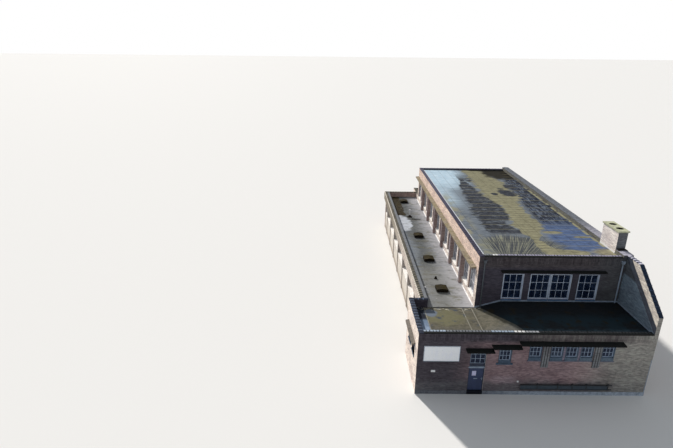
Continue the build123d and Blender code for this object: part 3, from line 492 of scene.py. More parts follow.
class Graph:
    """The nodes of one material, laid out by place on the site."""

    def __init__(self, name, roughness=0.85, gloss=None):
        self.material = bpy.data.materials.new(name)
        self.material.use_nodes = True
        self.nodes = self.material.node_tree.nodes
        self.links = self.material.node_tree.links
        self.shader = self.nodes["Principled BSDF"]
        self.shader.inputs["Roughness"].default_value = roughness
        if gloss is not None:
            self.shader.inputs["Specular IOR Level"].default_value = gloss
        coordinates = self.node("ShaderNodeTexCoord")
        self.place = self.vector("SUBTRACT", coordinates.outputs["Object"], tuple(SITE))
        self.x, self.y, self.z = self.split(self.place)
        self.facing_x, self.facing_y, self.facing_z = self.split(coordinates.outputs["Normal"])

    def node(self, kind, **settings):
        made = self.nodes.new(kind)
        for key, value in settings.items():
            setattr(made, key, value)
        return made

    def feed(self, socket, value):
        if isinstance(value, bpy.types.NodeSocket):
            self.links.new(value, socket)
        else:
            socket.default_value = value

    def split(self, vector):
        made = self.node("ShaderNodeSeparateXYZ")
        self.feed(made.inputs[0], vector)
        return made.outputs

    def combine(self, x, y, z=0.0):
        made = self.node("ShaderNodeCombineXYZ")
        for socket, value in zip(made.inputs, (x, y, z)):
            self.feed(socket, value)
        return made.outputs[0]

    def vector(self, operation, first, second):
        made = self.node("ShaderNodeVectorMath", operation=operation)
        self.feed(made.inputs[0], first)
        self.feed(made.inputs[1], second)
        return made.outputs[0]

    def math(self, operation, *values):
        made = self.node("ShaderNodeMath", operation=operation)
        for socket, value in zip(made.inputs, values):
            self.feed(socket, value)
        return made.outputs[0]

    def plus(self, first, second):
        return self.math("ADD", first, second)

    def minus(self, first, second):
        return self.math("SUBTRACT", first, second)

    def times(self, first, second):
        return self.math("MULTIPLY", first, second)

    def scaled(self, value, factor, added):
        """A number times a factor, with another added."""
        return self.math("MULTIPLY_ADD", value, factor, added)

    def most(self, first, second):
        return self.math("MAXIMUM", first, second)

    def above(self, value, limit):
        return self.math("GREATER_THAN", value, limit)

    def below(self, value, limit):
        return self.math("LESS_THAN", value, limit)

    def ramp(self, value, start, end, low=0.0, high=1.0, smooth=True):
        """Low below start, high above end, and a smooth change between."""
        made = self.node("ShaderNodeMapRange")
        made.interpolation_type = "SMOOTHSTEP" if smooth else "LINEAR"
        for name, number in (("Value", value), ("From Min", start), ("From Max", end),
                             ("To Min", low), ("To Max", high)):
            self.feed(made.inputs[name], number)
        return made.outputs["Result"]

    def band(self, value, start, end, edge):
        """One between start and end, and nothing beyond them."""
        rise = self.ramp(value, start - edge, start + edge)
        fall = self.ramp(value, end - edge, end + edge, 1.0, 0.0)
        return self.times(rise, fall)

    def choose(self, factor, first, second):
        """The first number where factor is nothing and the second where it is one."""
        made = self.node("ShaderNodeMix", data_type="FLOAT")
        for socket, value in zip((made.inputs[0], made.inputs[2], made.inputs[3]), (factor, first, second)):
            self.feed(socket, value)
        return made.outputs[0]

    def mix(self, factor, first, second, blend="MIX"):
        """The first colour where factor is nothing and the second where it is one."""
        made = self.node("ShaderNodeMix", data_type="RGBA", blend_type=blend)
        for socket, value in zip((made.inputs[0], made.inputs[6], made.inputs[7]), (factor, first, second)):
            self.feed(socket, value)
        return made.outputs[2]

    def noise(self, scale, stretch=(1, 1, 1), shift=(0, 0, 0), detail=4.0, roughness=0.6):
        """Cloudy noise from 0 to 1, with so many clouds to a metre."""
        spot = self.vector("MULTIPLY", self.place, stretch)
        spot = self.vector("ADD", spot, shift)
        made = self.node("ShaderNodeTexNoise")
        self.feed(made.inputs["Vector"], spot)
        made.inputs["Scale"].default_value = scale
        made.inputs["Detail"].default_value = detail
        made.inputs["Roughness"].default_value = roughness
        return made.outputs[0]

    def tint(self, colour, red, green, blue):
        """A colour with its parts made stronger or weaker."""
        return self.vector("MULTIPLY", colour, (red, green, blue))

    def curve(self, value, points):
        """A number that follows straight lines between points, each a value and its number."""
        lowest = min(number for spot, number in points)
        highest = max(number for spot, number in points)
        first, last = points[0][0], points[-1][0]
        made = self.node("ShaderNodeFloatCurve")
        line = made.mapping.curves[0]
        spots = [((spot - first) / (last - first), (number - lowest) / (highest - lowest))
                 for spot, number in points]
        line.points[0].location = spots[0]
        line.points[-1].location = spots[-1]
        for spot in spots[1:-1]:
            line.points.new(*spot)
        for point in line.points:
            point.handle_type = "VECTOR"
        made.mapping.update()
        self.feed(made.inputs["Value"], self.ramp(value, first, last, smooth=False))
        return self.scaled(made.outputs[0], highest - lowest, lowest)

    def grime(self, colour, dark, scale, start=0.45, end=0.75, stretch=(1, 1, 1), shift=(0, 0, 0)):
        """A colour with darker or lighter clouds of another over it."""
        return self.mix(self.ramp(self.noise(scale, stretch, shift), start, end), colour, dark)

    def oval(self, x, y, reach_x, reach_y):
        """How far a point on a roof is from a middle, one at the reach either way."""
        across = self.times(self.minus(self.x, x), 1 / reach_x)
        along = self.times(self.minus(self.y, y), 1 / reach_y)
        return self.math("SQRT", self.scaled(across, across, self.times(along, along)))

    def patch(self, x, y, reach_x, reach_y, ragged, edge, shift):
        """A ragged spot on a roof, one at its middle and nothing outside."""
        wobble = self.scaled(self.noise(0.9, (0.7, 1.6, 1), shift), ragged * 2, -ragged)
        reach = self.plus(self.oval(x, y, reach_x, reach_y), wobble)
        return self.ramp(reach, 1 - edge, 1 + edge, 1.0, 0.0)

    def bump(self, height, distance, strength=1.0, under=None):
        made = self.node("ShaderNodeBump")
        made.inputs["Strength"].default_value = strength
        made.inputs["Distance"].default_value = distance
        self.feed(made.inputs["Height"], height)
        if under is not None:
            self.feed(made.inputs["Normal"], under)
        return made.outputs[0]

    def finish(self, colour, normal, roughness=None):
        self.feed(self.shader.inputs["Base Color"], colour)
        self.feed(self.shader.inputs["Normal"], normal)
        if roughness is not None:
            self.feed(self.shader.inputs["Roughness"], roughness)
        return self.material

    def stone(self, colour):
        """Finishes the material with stone's grain."""
        return self.finish(colour, self.bump(self.noise(STONE_GRAIN), 0.003, 0.6))

    def wall(self):
        """How far along and how far up a wall a point is, whichever way it faces."""
        faces_side = self.above(self.math("ABSOLUTE", self.facing_x), 0.5)
        lies_flat = self.above(self.math("ABSOLUTE", self.facing_z), 0.5)
        along = self.choose(faces_side, self.x, self.y)
        up = self.choose(lies_flat, self.z, self.y)
        return along, up

    def faces_south(self):
        return self.below(self.facing_y, -0.5)

    def faces_west(self):
        return self.below(self.facing_x, -0.5)

    def bricks(self, along, up, offset, light, dark, mortar):
        """Courses of brick: the colour, and one in the joints."""
        made = self.node("ShaderNodeTexBrick", offset=offset, offset_frequency=2, squash=1.0)
        self.feed(made.inputs["Vector"], self.combine(along, up))
        self.feed(made.inputs["Color1"], light)
        self.feed(made.inputs["Color2"], dark)
        self.feed(made.inputs["Mortar"], mortar)
        for name, number in (("Scale", 1.0), ("Mortar Size", JOINT), ("Mortar Smooth", 0.2),
                             ("Bias", 0.0), ("Brick Width", BRICK_LENGTH), ("Row Height", COURSE_HEIGHT)):
            made.inputs[name].default_value = number
        return made.outputs["Color"], made.outputs["Fac"]


class Shape:
    """A mesh drawn on the site, piece by piece."""

    def __init__(self):
        self.points = []
        self.faces = []

    def add(self, points, faces, turn=None):
        start = len(self.points)
        for point in points:
            point = Vector(point)
            self.points.append(turn @ point if turn is not None else point)
        self.faces += [[start + index for index in face] for face in faces]

    def block(self, low, high):
        """A box between two corners."""
        (x0, y0, z0), (x1, y1, z1) = low, high
        self.prism([(x0, y0), (x1, y0), (x1, y1), (x0, y1)], "z", z0, z1)

    def block_from(self, origin, low, high):
        """A box between two corners that are measured from a point."""
        self.block([a + b for a, b in zip(origin, low)], [a + b for a, b in zip(origin, high)])

    def prism(self, outline, axis, start, end, turn=None):
        """An outline carried along an axis. It is drawn in the two other axes, in x, y, z order."""
        count = len(outline)
        points = []
        for level in (start, end):
            for a, b in outline:
                points.append({"x": (level, a, b), "y": (a, level, b), "z": (a, b, level)}[axis])
        faces = [list(range(count))[::-1], list(range(count, 2 * count))]
        for index in range(count):
            after = (index + 1) % count
            faces.append([index, after, count + after, count + index])
        if axis == "y":
            faces = [face[::-1] for face in faces]
        self.add(points, faces, turn)

    def turned(self, profile, middle, sides=16):
        """A round shape on an upright axis, from its radii and levels, bottom to top."""
        points = []
        for radius, level in profile:
            for index in range(sides):
                angle = 2 * math.pi * index / sides
                x = middle[0] + radius * math.cos(angle)
                y = middle[1] + radius * math.sin(angle)
                points.append((x, y, middle[2] + level))
        faces = [list(range(sides))[::-1], list(range(len(points) - sides, len(points)))]
        for ring in range(len(profile) - 1):
            low = ring * sides
            for index in range(sides):
                after = (index + 1) % sides
                faces.append([low + index, low + after, low + sides + after, low + sides + index])
        self.add(points, faces)

    def piece(self, name, material, slot, body=BUILDING, stands_for=(), bevel=0.0):
        """Makes the object, gives it its material and lets it ride on its body."""
        mesh = bpy.data.meshes.new(name)
        mesh.from_pydata([tuple(point + SITE) for point in self.points], [], self.faces)
        mesh.update()
        made = bpy.data.objects.new(name, mesh)
        bpy.context.scene.collection.objects.link(made)
        mesh.materials.append(material)
        if bevel:
            rounding = made.modifiers.new("bevel", "BEVEL")
            rounding.width = bevel
            rounding.segments = 2
            rounding.limit_method = "ANGLE"
        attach(made, body)
        if stands_for:
            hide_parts(*stands_for)


def street_colours(graph):
    """Brick of the street front: sooty to the west, pink in the middle, buff to the east."""
    pink = graph.ramp(graph.plus(graph.x, graph.noise(0.5, shift=(8, 0, 2))), *STREET_PINK)
    buff = graph.ramp(graph.plus(graph.x, graph.noise(0.5, shift=(1, 5, 2))), *STREET_BUFF)
    street = graph.mix(pink, STREET_WEST_BRICK, STREET_MIDDLE_BRICK)
    bright = graph.band(graph.x, *STREET_BRIGHT, 0.5)
    street = graph.mix(graph.times(bright, 0.8), street, STREET_BRIGHT_BRICK)
    street = graph.mix(buff, street, STREET_EAST_BRICK)
    top = graph.mix(graph.ramp(graph.x, *EAVES_DARK), STREET_WEST_BRICK, STREET_EAVES_BRICK)
    top = graph.mix(graph.ramp(graph.x, *EAVES_BUFF), top, STREET_EAST_BRICK)
    high = graph.scaled(graph.noise(0.8, shift=(2, 2, 6)), 0.5, graph.z)
    street = graph.mix(graph.ramp(high, *EAVES_LEVEL), street, top)
    low = graph.ramp(graph.plus(graph.z, graph.noise(0.7, shift=(5, 1, 1))), *FOOT_LEVEL, 1.0, 0.0)
    low = graph.times(low, graph.ramp(graph.x, *FOOT_CLEAN, 0.85, 0.2))
    street = graph.mix(low, street, STREET_FOOT_BRICK)
    posts = graph.times(graph.band(graph.x, *POSTS_X, 0.02), graph.band(graph.z, *POSTS_Z, 0.02))
    street = graph.mix(posts, street, POST_BRICK)
    wash = graph.times(graph.band(graph.x, *WASHED_X, 0.3), graph.band(graph.z, *WASHED_Z, 0.12))
    return graph.mix(graph.times(wash, 0.55), street, WASHED_BRICK)


def rake_colours(graph):
    """The raking wall's inner side: painted sunlight in a belt below its slope, painted shade under that,
    and cool painted shade at its foot.
    """
    foot = rake_foot_level()
    run = rake_run()
    top = site_box("raking_wall")[1].z
    slope = graph.curve(graph.y, ((0, foot), (run, top), (run + 2, top)))
    line = graph.scaled(graph.y, (top - foot) / run, foot)
    level = graph.scaled(graph.noise(2.0, shift=(1, 1, 1)), 0.12, graph.z)
    depth = graph.minus(line, level)
    # Painted shade: a dark belt under the painted sunlit strip, then dark brick; the cool painted shade lies
    # lower.
    dull = graph.mix(graph.ramp(depth, *RAKE_BELT_DEPTH), RAKE_BELT_BRICK, RAKE_DARK_BRICK)
    colour = graph.mix(graph.ramp(depth, *RAKE_LIT_DEPTH, 1.0, 0.0), dull, RAKE_LIT_BRICK)
    return graph.mix(graph.ramp(graph.minus(slope, level), *RAKE_SHADE_DEPTH), colour, RAKE_SHADE_BRICK)


def brick_colours(graph):
    """The brick's overall colour, by the way a wall faces and where it stands: west faces are painted paler
    as painted sunlight, south faces darker, partly the brick's own tone and partly painted shade.
    """
    hall = graph.mix(graph.ramp(graph.z, *HALL_EAVES_LEVEL), HALL_SOUTH_BRICK, HALL_EAVES_BRICK)
    hall = graph.mix(graph.ramp(graph.x, *HALL_EAST), hall, HALL_EAST_BRICK)
    # Painted light: the hall piers' south faces are painted pale, standing in for light thrown up from the
    # wing's roof.
    on_pier = graph.times(graph.below(graph.x, PIERS_TO), graph.above(graph.y, PIERS_FROM))
    hall = graph.mix(on_pier, hall, PIER_SOUTH_BRICK)
    south = graph.mix(graph.above(graph.y, BEHIND_STREET), street_colours(graph), hall)
    # Painted sunlight: west faces are painted paler than the brick.
    west = graph.mix(graph.ramp(graph.z, *MIDDLE_WEST_LEVEL), LOW_WEST_BRICK, MIDDLE_WEST_BRICK)
    west = graph.mix(graph.ramp(graph.z, *HIGH_WEST_LEVEL), west, HIGH_WEST_BRICK)
    projecting = graph.times(graph.band(graph.x, *PROJECTING_X, 0.01), graph.above(graph.y, PROJECTING_FROM))
    west = graph.mix(projecting, west, PROJECTING_BRICK)
    east = graph.mix(graph.above(graph.y, RAKE_END), rake_colours(graph), INNER_EAST_BRICK)
    west = graph.mix(graph.above(graph.x, EAST_WALLS_FROM), west, east)
    colour = graph.mix(graph.faces_west(), OTHER_BRICK, west)
    # South faces: darker and bluer, partly the brick's own tone and partly painted shade.
    return graph.mix(graph.faces_south(), colour, south)


def brick_stains(graph, colour, soldiers):
    """Brick's colour with clouds, streaks, uneven courses and uneven soldiers."""
    colour = graph.grime(colour, graph.tint(colour, 0.78, 0.75, 0.76), 0.6, 0.4, 0.7, (1, 1, 1.6))
    colour = graph.grime(colour, graph.tint(colour, 1.28, 1.24, 1.22), 1.4, 0.5, 0.85, (1, 1, 3), (7, 3, 1))
    streaks = graph.ramp(graph.noise(2.6, (1, 1, 0.10), (3, 5, 9)), 0.5, 0.8)
    colour = graph.mix(graph.times(streaks, 0.5), colour, graph.tint(colour, 0.7, 0.7, 0.71))
    courses = graph.noise(2.4, (0.7, 0.7, 6.4), (4, 4, 1), detail=3.0)
    courses = graph.ramp(courses, 0.4, 0.62, 0.0, 0.6)
    colour = graph.mix(courses, colour, graph.tint(colour, 0.68, 0.65, 0.67))
    uneven = graph.ramp(graph.noise(4.5, (1, 1, 0.02), (6, 1, 0), detail=1.0), 0.42, 0.6, 0.0, 0.6)
    return graph.mix(graph.times(uneven, soldiers), colour, graph.tint(colour, 0.6, 0.58, 0.6))


def brickwork(graph, base, contrast):
    """Bricks in courses over a base colour, with soldier courses under the eaves and soft stains."""
    along, up = graph.wall()
    light = graph.tint(base, *[1 + share * contrast for share in BRICK_LIGHTER])
    dark = graph.tint(base, *[1 - share * contrast for share in BRICK_DARKER])
    mortar = graph.mix(0.3 * contrast, base, MORTAR)
    laid, laid_joint = graph.bricks(along, up, 0.5, light, dark, mortar)
    upright, upright_joint = graph.bricks(up, along, 0.0, light, dark, mortar)
    on_street = graph.times(graph.band(graph.z, *STREET_SOLDIERS, SHARP), graph.below(graph.y, STREET_DEPTH))
    on_hall = graph.times(graph.band(graph.z, *HALL_SOLDIERS, SHARP), graph.above(graph.y, HALL_FROM))
    soldiers = graph.times(graph.plus(on_street, on_hall), graph.faces_south())
    colour = brick_stains(graph, graph.mix(soldiers, laid, upright), soldiers)
    joint = graph.choose(soldiers, laid_joint, upright_joint)
    grain = graph.bump(graph.noise(60, detail=2.0), 0.002, 0.4)
    return graph.finish(colour, graph.bump(graph.minus(1.0, joint), 0.005, 0.6, grain))


def brick_material():
    """Weathered brick over most of the building."""
    graph = Graph("weathered_brick", 0.95, BRICK_GLOSS)
    return brickwork(graph, brick_colours(graph), 0.5)


def pale_brick_material(name, west, south, other):
    """Paler brick, one colour to the west, one to the south and one elsewhere."""
    graph = Graph(name, 0.95, BRICK_GLOSS)
    colour = graph.mix(graph.faces_west(), paint(*other), paint(*west))
    colour = graph.mix(graph.faces_south(), colour, paint(*south))
    return brickwork(graph, colour, 0.35)


def wing_brick_material():
    """The wing's brick: greyer on its piers, and on its parapet toward the back, with its south faces
    painted darker as painted shade.
    """
    graph = Graph("wing_brick", 0.95, BRICK_GLOSS)
    parapet = graph.mix(graph.ramp(graph.y, *WING_BACK), WING_PARAPET_BRICK, WING_BACK_BRICK)
    piers = graph.mix(graph.ramp(graph.z, *WING_PIER_LEVEL), WING_PIER_FOOT_BRICK, WING_PIER_BRICK)
    west = graph.mix(graph.ramp(graph.z, *WING_PARAPET_LEVEL), piers, parapet)
    colour = graph.mix(graph.faces_west(), WING_OTHER_BRICK, west)
    colour = graph.mix(graph.faces_south(), colour, WING_SOUTH_BRICK)
    return brickwork(graph, colour, 0.35)


def render_material():
    """Pale painted render on the wing's low wall, dirty at its foot."""
    graph = Graph("pale_render", 0.9)
    colour = graph.grime(paint(216, 208, 198), paint(192, 186, 178), 1.4, 0.4, 0.75, (1, 1, 0.3))
    colour = graph.grime(colour, paint(236, 230, 222), 5.0, 0.55, 0.8, shift=(4, 4, 4))
    colour = graph.mix(graph.ramp(graph.z, 0.0, 0.9, 1.0, 0.0), colour, graph.tint(colour, 0.5, 0.45, 0.4))
    return graph.finish(colour, graph.bump(graph.noise(40), 0.003, 0.5))


def stained(graph, pale, dark, moss=None):
    """Stone's colour with its stains, and moss where its tone is given."""
    colour = graph.grime(pale, dark, 3.5, 0.35, 0.75)
    colour = graph.grime(colour, graph.tint(colour, 0.42, 0.42, 0.43), 18.0, 0.45, 0.8, shift=(2, 8, 5))
    if moss is not None:
        colour = graph.mix(graph.ramp(graph.noise(2.6, shift=(9, 1, 4)), 0.42, 0.68), colour, moss)
    return colour


def stone_material(name, *tones):
    """Cast stone or slate in one pair of tones."""
    graph = Graph(f"{name}_stone", gloss=STONE_GLOSS)
    return graph.stone(stained(graph, *[paint(*tone) for tone in tones]))


def graded_stone_material(name, roughness, axis, span, wander, near, far):
    """Stone that goes from one pair of tones to another along x or y, with an uneven change if wanted."""
    graph = Graph(f"{name}_stone", roughness, STONE_GLOSS)
    place = {"x": graph.x, "y": graph.y}[axis]
    if wander:
        place = graph.scaled(graph.noise(0.6), wander, place)
    share = graph.ramp(place, *span)
    tones = [graph.mix(share, paint(*first), paint(*second)) for first, second in zip(near, far)]
    return graph.stone(stained(graph, *tones))


def cap_material():
    """The chimney's cap: lichen, and soot round its flues."""
    graph = Graph("lichened_cap", 0.9, STONE_GLOSS)
    colour = stained(graph, paint(198, 199, 176), paint(160, 163, 138), paint(184, 188, 156))
    low, high = site_box("chimney_cap")
    for share in SOOT_SHARES:
        away = graph.oval((low.x + high.x) / 2, low.y + (high.y - low.y) * share, 0.30, 0.26)
        colour = graph.mix(graph.ramp(away, 0.85, 1.1, 1.0, 0.0), colour, paint(20, 20, 16))
    return graph.stone(colour)


def wing_tile_material():
    """The wing's coping tiles: cream on their outer side as painted sunlight, and dark on top as painted
    shade.
    """
    graph = Graph("wing_tiles_stone", gloss=STONE_GLOSS)
    outer = site_box("wing_band")[0].x
    colour = stained(graph, paint(58, 60, 57), paint(38, 40, 40), paint(56, 56, 46))
    cream = stained(graph, paint(240, 232, 222), paint(204, 196, 186))
    # Painted light: the outer side is painted cream as if sunlit, the top dark as if shaded.
    return graph.stone(graph.mix(graph.ramp(graph.x, outer + 0.07, outer + 0.11), cream, colour))


def paint_material(name, colour, worn):
    """Painted timber with dulled and chalky places."""
    graph = Graph(f"{name}_paint", 0.45)
    shade = graph.grime(paint(*colour), paint(*worn), 4.0, 0.4, 0.8, (1, 1, 0.4))
    shade = graph.grime(shade, graph.mix(1.0, shade, paint(190, 190, 190), "MULTIPLY"), 30.0, 0.55, 0.85)
    return graph.finish(shade, graph.bump(graph.noise(80, (1, 1, 0.2)), 0.001, 0.4))


def metal_material(name, colour, worn, roughness):
    """Painted steel or lead with dull streaks."""
    graph = Graph(f"{name}_metal", roughness)
    shade = graph.grime(paint(*colour), paint(*worn), 2.5, 0.4, 0.75, (1, 1, 0.3))
    dull = graph.ramp(graph.noise(9.0), 0.3, 0.7, roughness - 0.12, roughness + 0.2)
    return graph.finish(shade, graph.bump(graph.noise(6.0), 0.004, 0.3), dull)


def glass_material(name, clear, dull):
    """Window glass over unlit rooms, a little uneven."""
    graph = Graph(f"{name}_pane", 0.12)
    shade = graph.grime(paint(*clear), paint(*dull), 1.6, 0.4, 0.7)
    graph.shader.inputs["Alpha"].default_value = 0.92
    graph.shader.inputs["IOR"].default_value = 1.3
    graph.material.surface_render_method = "BLENDED"
    return graph.finish(shade, graph.bump(graph.noise(3.0), 0.01, 0.15))


class Felt(Graph):
    """The felt of a roof, with a fine noise that speckles its colours."""

    def __init__(self, name, roughness, gloss, scale, stretch, shift):
        super().__init__(name, roughness, gloss)
        self.fine = self.noise(scale, stretch, shift, 6.0, 0.75)

    def speckled(self, start, end, first, second):
        """One colour speckled with another."""
        return self.mix(self.ramp(self.fine, start, end), first, second)

    def part(self, mask, share, colour, other):
        """A colour with a share of another where a mask is one."""
        return self.mix(self.times(mask, share), colour, other)

    def seams(self, step, width, wander=0.06):
        """Thin lines across the roof, one along each seam of its felt."""
        along = self.scaled(self.noise(0.5, (0.4, 0.4, 1), (3, 3, 3)), wander, self.y)
        return self.ramp(self.math("PINGPONG", along, step / 2), 0.0, width, 1.0, 0.0)


class HallFelt(Felt):
    """The hall's felt, with a noise drawn out along the roof that makes its patches ragged."""

    def __init__(self):
        super().__init__("hall_felt", 0.65, HALL_FELT_GLOSS, 3.4, (0.5, 1.8, 1), (5, 1, 0))
        self.ragged = self.scaled(self.noise(1.1, HALL_DRAWN, (2, 7, 0), 8.0, 0.72), 2.0, -1.0)
        self.broad = self.noise(0.7, HALL_DRAWN, (1, 4, 0))

    def spread(self, reach, raggedness, edge=0.10):
        """One where a distance, roughened at its edge, stays below one."""
        return self.ramp(self.scaled(self.ragged, raggedness, reach), 1 - edge, 1 + edge, 1.0, 0.0)

    def belt(self, middles, halves, raggedness):
        """A ragged belt along the roof, its middle and half width given at places along it."""
        away = self.math("ABSOLUTE", self.minus(self.x, self.curve(self.y, middles)))
        return self.spread(self.math("DIVIDE", away, self.curve(self.y, halves)), raggedness)

    def spots(self, mask, places, raggedness, edge):
        """A mask with ragged spots added to it."""
        for place in places:
            mask = self.most(mask, self.spread(self.oval(*place), raggedness, edge))
        return mask

    def blue_side(self, colour, side):
        """Blue on the roof's east side, a painted sky reflection on wet felt, streaked with purple toward
        the back.
        """
        streaks = self.noise(3.0, (2.0, 0.35, 1), (4, 0, 8), 6.0, 0.72)
        north = self.mix(self.ramp(streaks, 0.46, 0.62), ROOF_PURPLE, ROOF_PALE_BLUE)
        south = self.speckled(0.38, 0.6, ROOF_NAVY, ROOF_BLUE)
        turns = self.ramp(self.scaled(self.ragged, 3.0, self.y), 11.5, 15.0)
        return self.mix(side, colour, self.mix(turns, south, north))

    def water(self, colour):
        """Painted sky reflection on water in the north-west, and pale moss south of it along the west edge.
        """
        sky = self.spread(self.oval(*WATER), 0.5, 0.45)
        edge = self.times(self.ramp(self.x, 6.2, 8.4, 0.75, 0.0), self.ramp(self.y, 16.0, 22.0))
        colour = self.mix(self.most(sky, edge), colour, self.speckled(0.4, 0.62, ROOF_WHITE_SKY, ROOF_SKY))
        moss = self.times(self.ramp(self.x, 6.0, 7.2, 1.0, 0.0), self.ramp(self.y, 25.0, 21.0))
        moss = self.times(moss, self.ramp(self.noise(1.4, (1, 0.6, 1), (9, 9, 0)), 0.44, 0.58))
        return self.part(moss, 0.7, colour, ROOF_PALE_MOSS)

    def dark_patches(self):
        """Where the roof's middle is dark and damp."""
        dark = self.spots(self.belt(DARK_MIDDLE, DARK_HALF, 1.3), DARK_SPOTS, 0.9, 0.15)
        inside = self.times(self.ramp(self.y, 10.0, 11.0), self.ramp(self.y, 29.0, 33.0, 1.0, 0.0))
        holes = self.noise(2.0, (0.5, 1.7, 1), (4, 9, 0), 6.0, 0.7)
        return self.times(self.times(dark, inside), self.ramp(holes, 0.54, 0.60, 1.0, 0.35))

    def rays(self, colour):
        """Dark and pale rays that spread from a point by the street end."""
        angle = self.math("DIVIDE", self.minus(self.x, RAYS_FROM[0]), self.minus(self.y, RAYS_FROM[1]))
        noise = self.node("ShaderNodeTexNoise", noise_dimensions="2D")
        noise.inputs["Scale"].default_value = 1.0
        noise.inputs["Detail"].default_value = 4.0
        self.feed(noise.inputs["Vector"], self.combine(self.times(angle, 85.0), self.times(self.y, 0.35)))
        shares = self.minus(noise.outputs[0], self.ramp(self.x, 6.0, 7.4, -0.08, 0.10))
        rays = self.mix(self.ramp(shares, 0.30, 0.58), ROOF_RAY_DARK, ROOF_RAY_PALE)
        return self.mix(self.spread(self.oval(*RAYS), 0.5, 0.25), colour, rays)

    def corners(self, colour):
        """The black north-east corner, the buff one by the street, a painted shadow line along the north
        edge and a moss line along the east edge.
        """
        black = self.speckled(0.4, 0.6, ROOF_BROWN, ROOF_NEAR_BLACK)
        colour = self.mix(self.spread(self.oval(*BLACK_CORNER), 0.7, 0.2), colour, black)
        # Painted shadow: a near-black line along the north edge, where the rear coping's shadow falls.
        north_line = self.times(self.ramp(self.y, 34.0, 34.3), self.ramp(self.x, 11.2, 12.2))
        colour = self.mix(north_line, colour, ROOF_NEAR_BLACK)
        buff = self.speckled(0.4, 0.6, ROOF_SOUTH_EAST, ROOF_PALE_MOSS)
        colour = self.mix(self.spread(self.oval(*STREET_CORNER), 0.5, 0.4), colour, buff)
        east_line = self.times(self.ramp(self.x, 16.1, 16.25), self.ramp(self.noise(0.9), 0.42, 0.52))
        east_line = self.times(east_line, self.ramp(self.y, 28.0, 24.0))
        return self.mix(east_line, colour, ROOF_PALE_MOSS)

    def cross_lines(self, colour):
        """Pale and dark lines across the roof."""
        lines = self.noise(5.0, (0.10, 1.5, 1), (8, 2, 0), 4.0, 0.7)
        colour = self.mix(self.ramp(lines, 0.52, 0.66, 0.0, 0.4), colour, self.tint(colour, 1.5, 1.5, 1.42))
        return self.mix(self.ramp(lines, 0.48, 0.36, 0.0, 0.5), colour, self.tint(colour, 0.55, 0.56, 0.6))


def hall_roof_material():
    """Wet felt: painted sky reflections, sky-pale on water and blue on the wet east side, a broad belt of
    moss, dark damp patches and fine seams.
    """
    felt = HallFelt()
    east = felt.ramp(felt.minus(felt.x, felt.curve(felt.y, BLUE_EDGE)), -0.3, 0.5)
    dark = felt.dark_patches()
    moss = felt.spots(felt.belt(MOSS_MIDDLE, MOSS_HALF, 1.1), MOSS_SPOTS, 0.8, 0.2)
    damp = felt.speckled(0.42, 0.68, ROOF_DARK, ROOF_DAMP)
    green = felt.speckled(0.34, 0.66, ROOF_MOSS, ROOF_PALE_MOSS)
    green = felt.mix(felt.ramp(felt.broad, 0.45, 0.6, 0.0, 0.4), green, ROOF_PALE_MOSS)
    colour = felt.speckled(0.35, 0.65, ROOF_GREY, ROOF_PALE)
    colour = felt.mix(felt.ramp(felt.broad, 0.42, 0.6, 0.0, 0.5), colour, ROOF_PALE)
    colour = felt.water(felt.blue_side(colour, east))
    colour = felt.rays(felt.mix(dark, colour, damp))
    colour = felt.mix(moss, colour, green)
    colour = felt.mix(felt.spots(0.0, DAMP_SPOTS, 1.0, 0.15), colour, damp)
    colour = felt.cross_lines(felt.corners(colour))
    seams = felt.seams(FELT_STEP, 0.06)
    colour = felt.part(seams, felt.choose(moss, 0.35, 0.7), colour, ROOF_DARK)
    pale_seams = felt.times(felt.seams(2 * FELT_STEP, 0.07, 0.12), felt.most(dark, east))
    colour = felt.part(pale_seams, 0.7, colour, ROOF_PALE_MOSS)
    sheets = felt.math("PINGPONG", felt.scaled(felt.noise(0.4), 0.1, felt.x), SHEET_HALF)
    colour = felt.mix(felt.ramp(sheets, 0.0, 0.05, 0.35, 0.0), colour, ROOF_DARK)
    return felt.finish(colour, felt.bump(seams, 0.008, 0.4, felt.bump(felt.noise(14.0), 0.008, 0.4)))


def wing_roof_ground(felt, wander):
    """Grey felt, painted pale along the hall's wall as light reflected from it, damp along the west edge
    with a painted sky sheen, and mossy in places.
    """
    dull = felt.speckled(0.35, 0.65, paint(104, 107, 108), paint(86, 90, 94))
    pale = felt.speckled(0.35, 0.65, paint(176, 176, 182), paint(152, 154, 160))
    # Painted light: the felt grows pale toward the hall's wall, as light reflected from it.
    east = felt.ramp(felt.scaled(wander, 0.8, felt.x), 3.4, 5.6)
    colour = felt.mix(east, dull, pale)
    # Damp along the west edge, with a painted sky sheen.
    west_edge = felt.ramp(felt.plus(felt.x, wander), 2.2, 3.0, 1.0, 0.0)
    colour = felt.part(west_edge, 0.8, colour, paint(112, 120, 132))
    light = felt.patch(*WING_LIGHT, ragged=0.7, edge=0.3, shift=(1, 3, 0))
    colour = felt.part(light, 0.35, colour, paint(140, 148, 158))
    near_street = felt.ramp(felt.y, 15.0, 10.0, 0.0, 0.55)
    colour = felt.mix(near_street, colour, felt.mix(east, paint(146, 146, 144), paint(176, 176, 180)))
    moss = felt.ramp(felt.noise(0.9, WING_DRAWN, (6, 6, 0), 6.0, 0.7), 0.52, 0.64)
    moss = felt.times(moss, felt.ramp(felt.x, 4.6, 5.1, 1.0, 0.0))
    return felt.part(moss, 0.6, colour, paint(100, 98, 78))


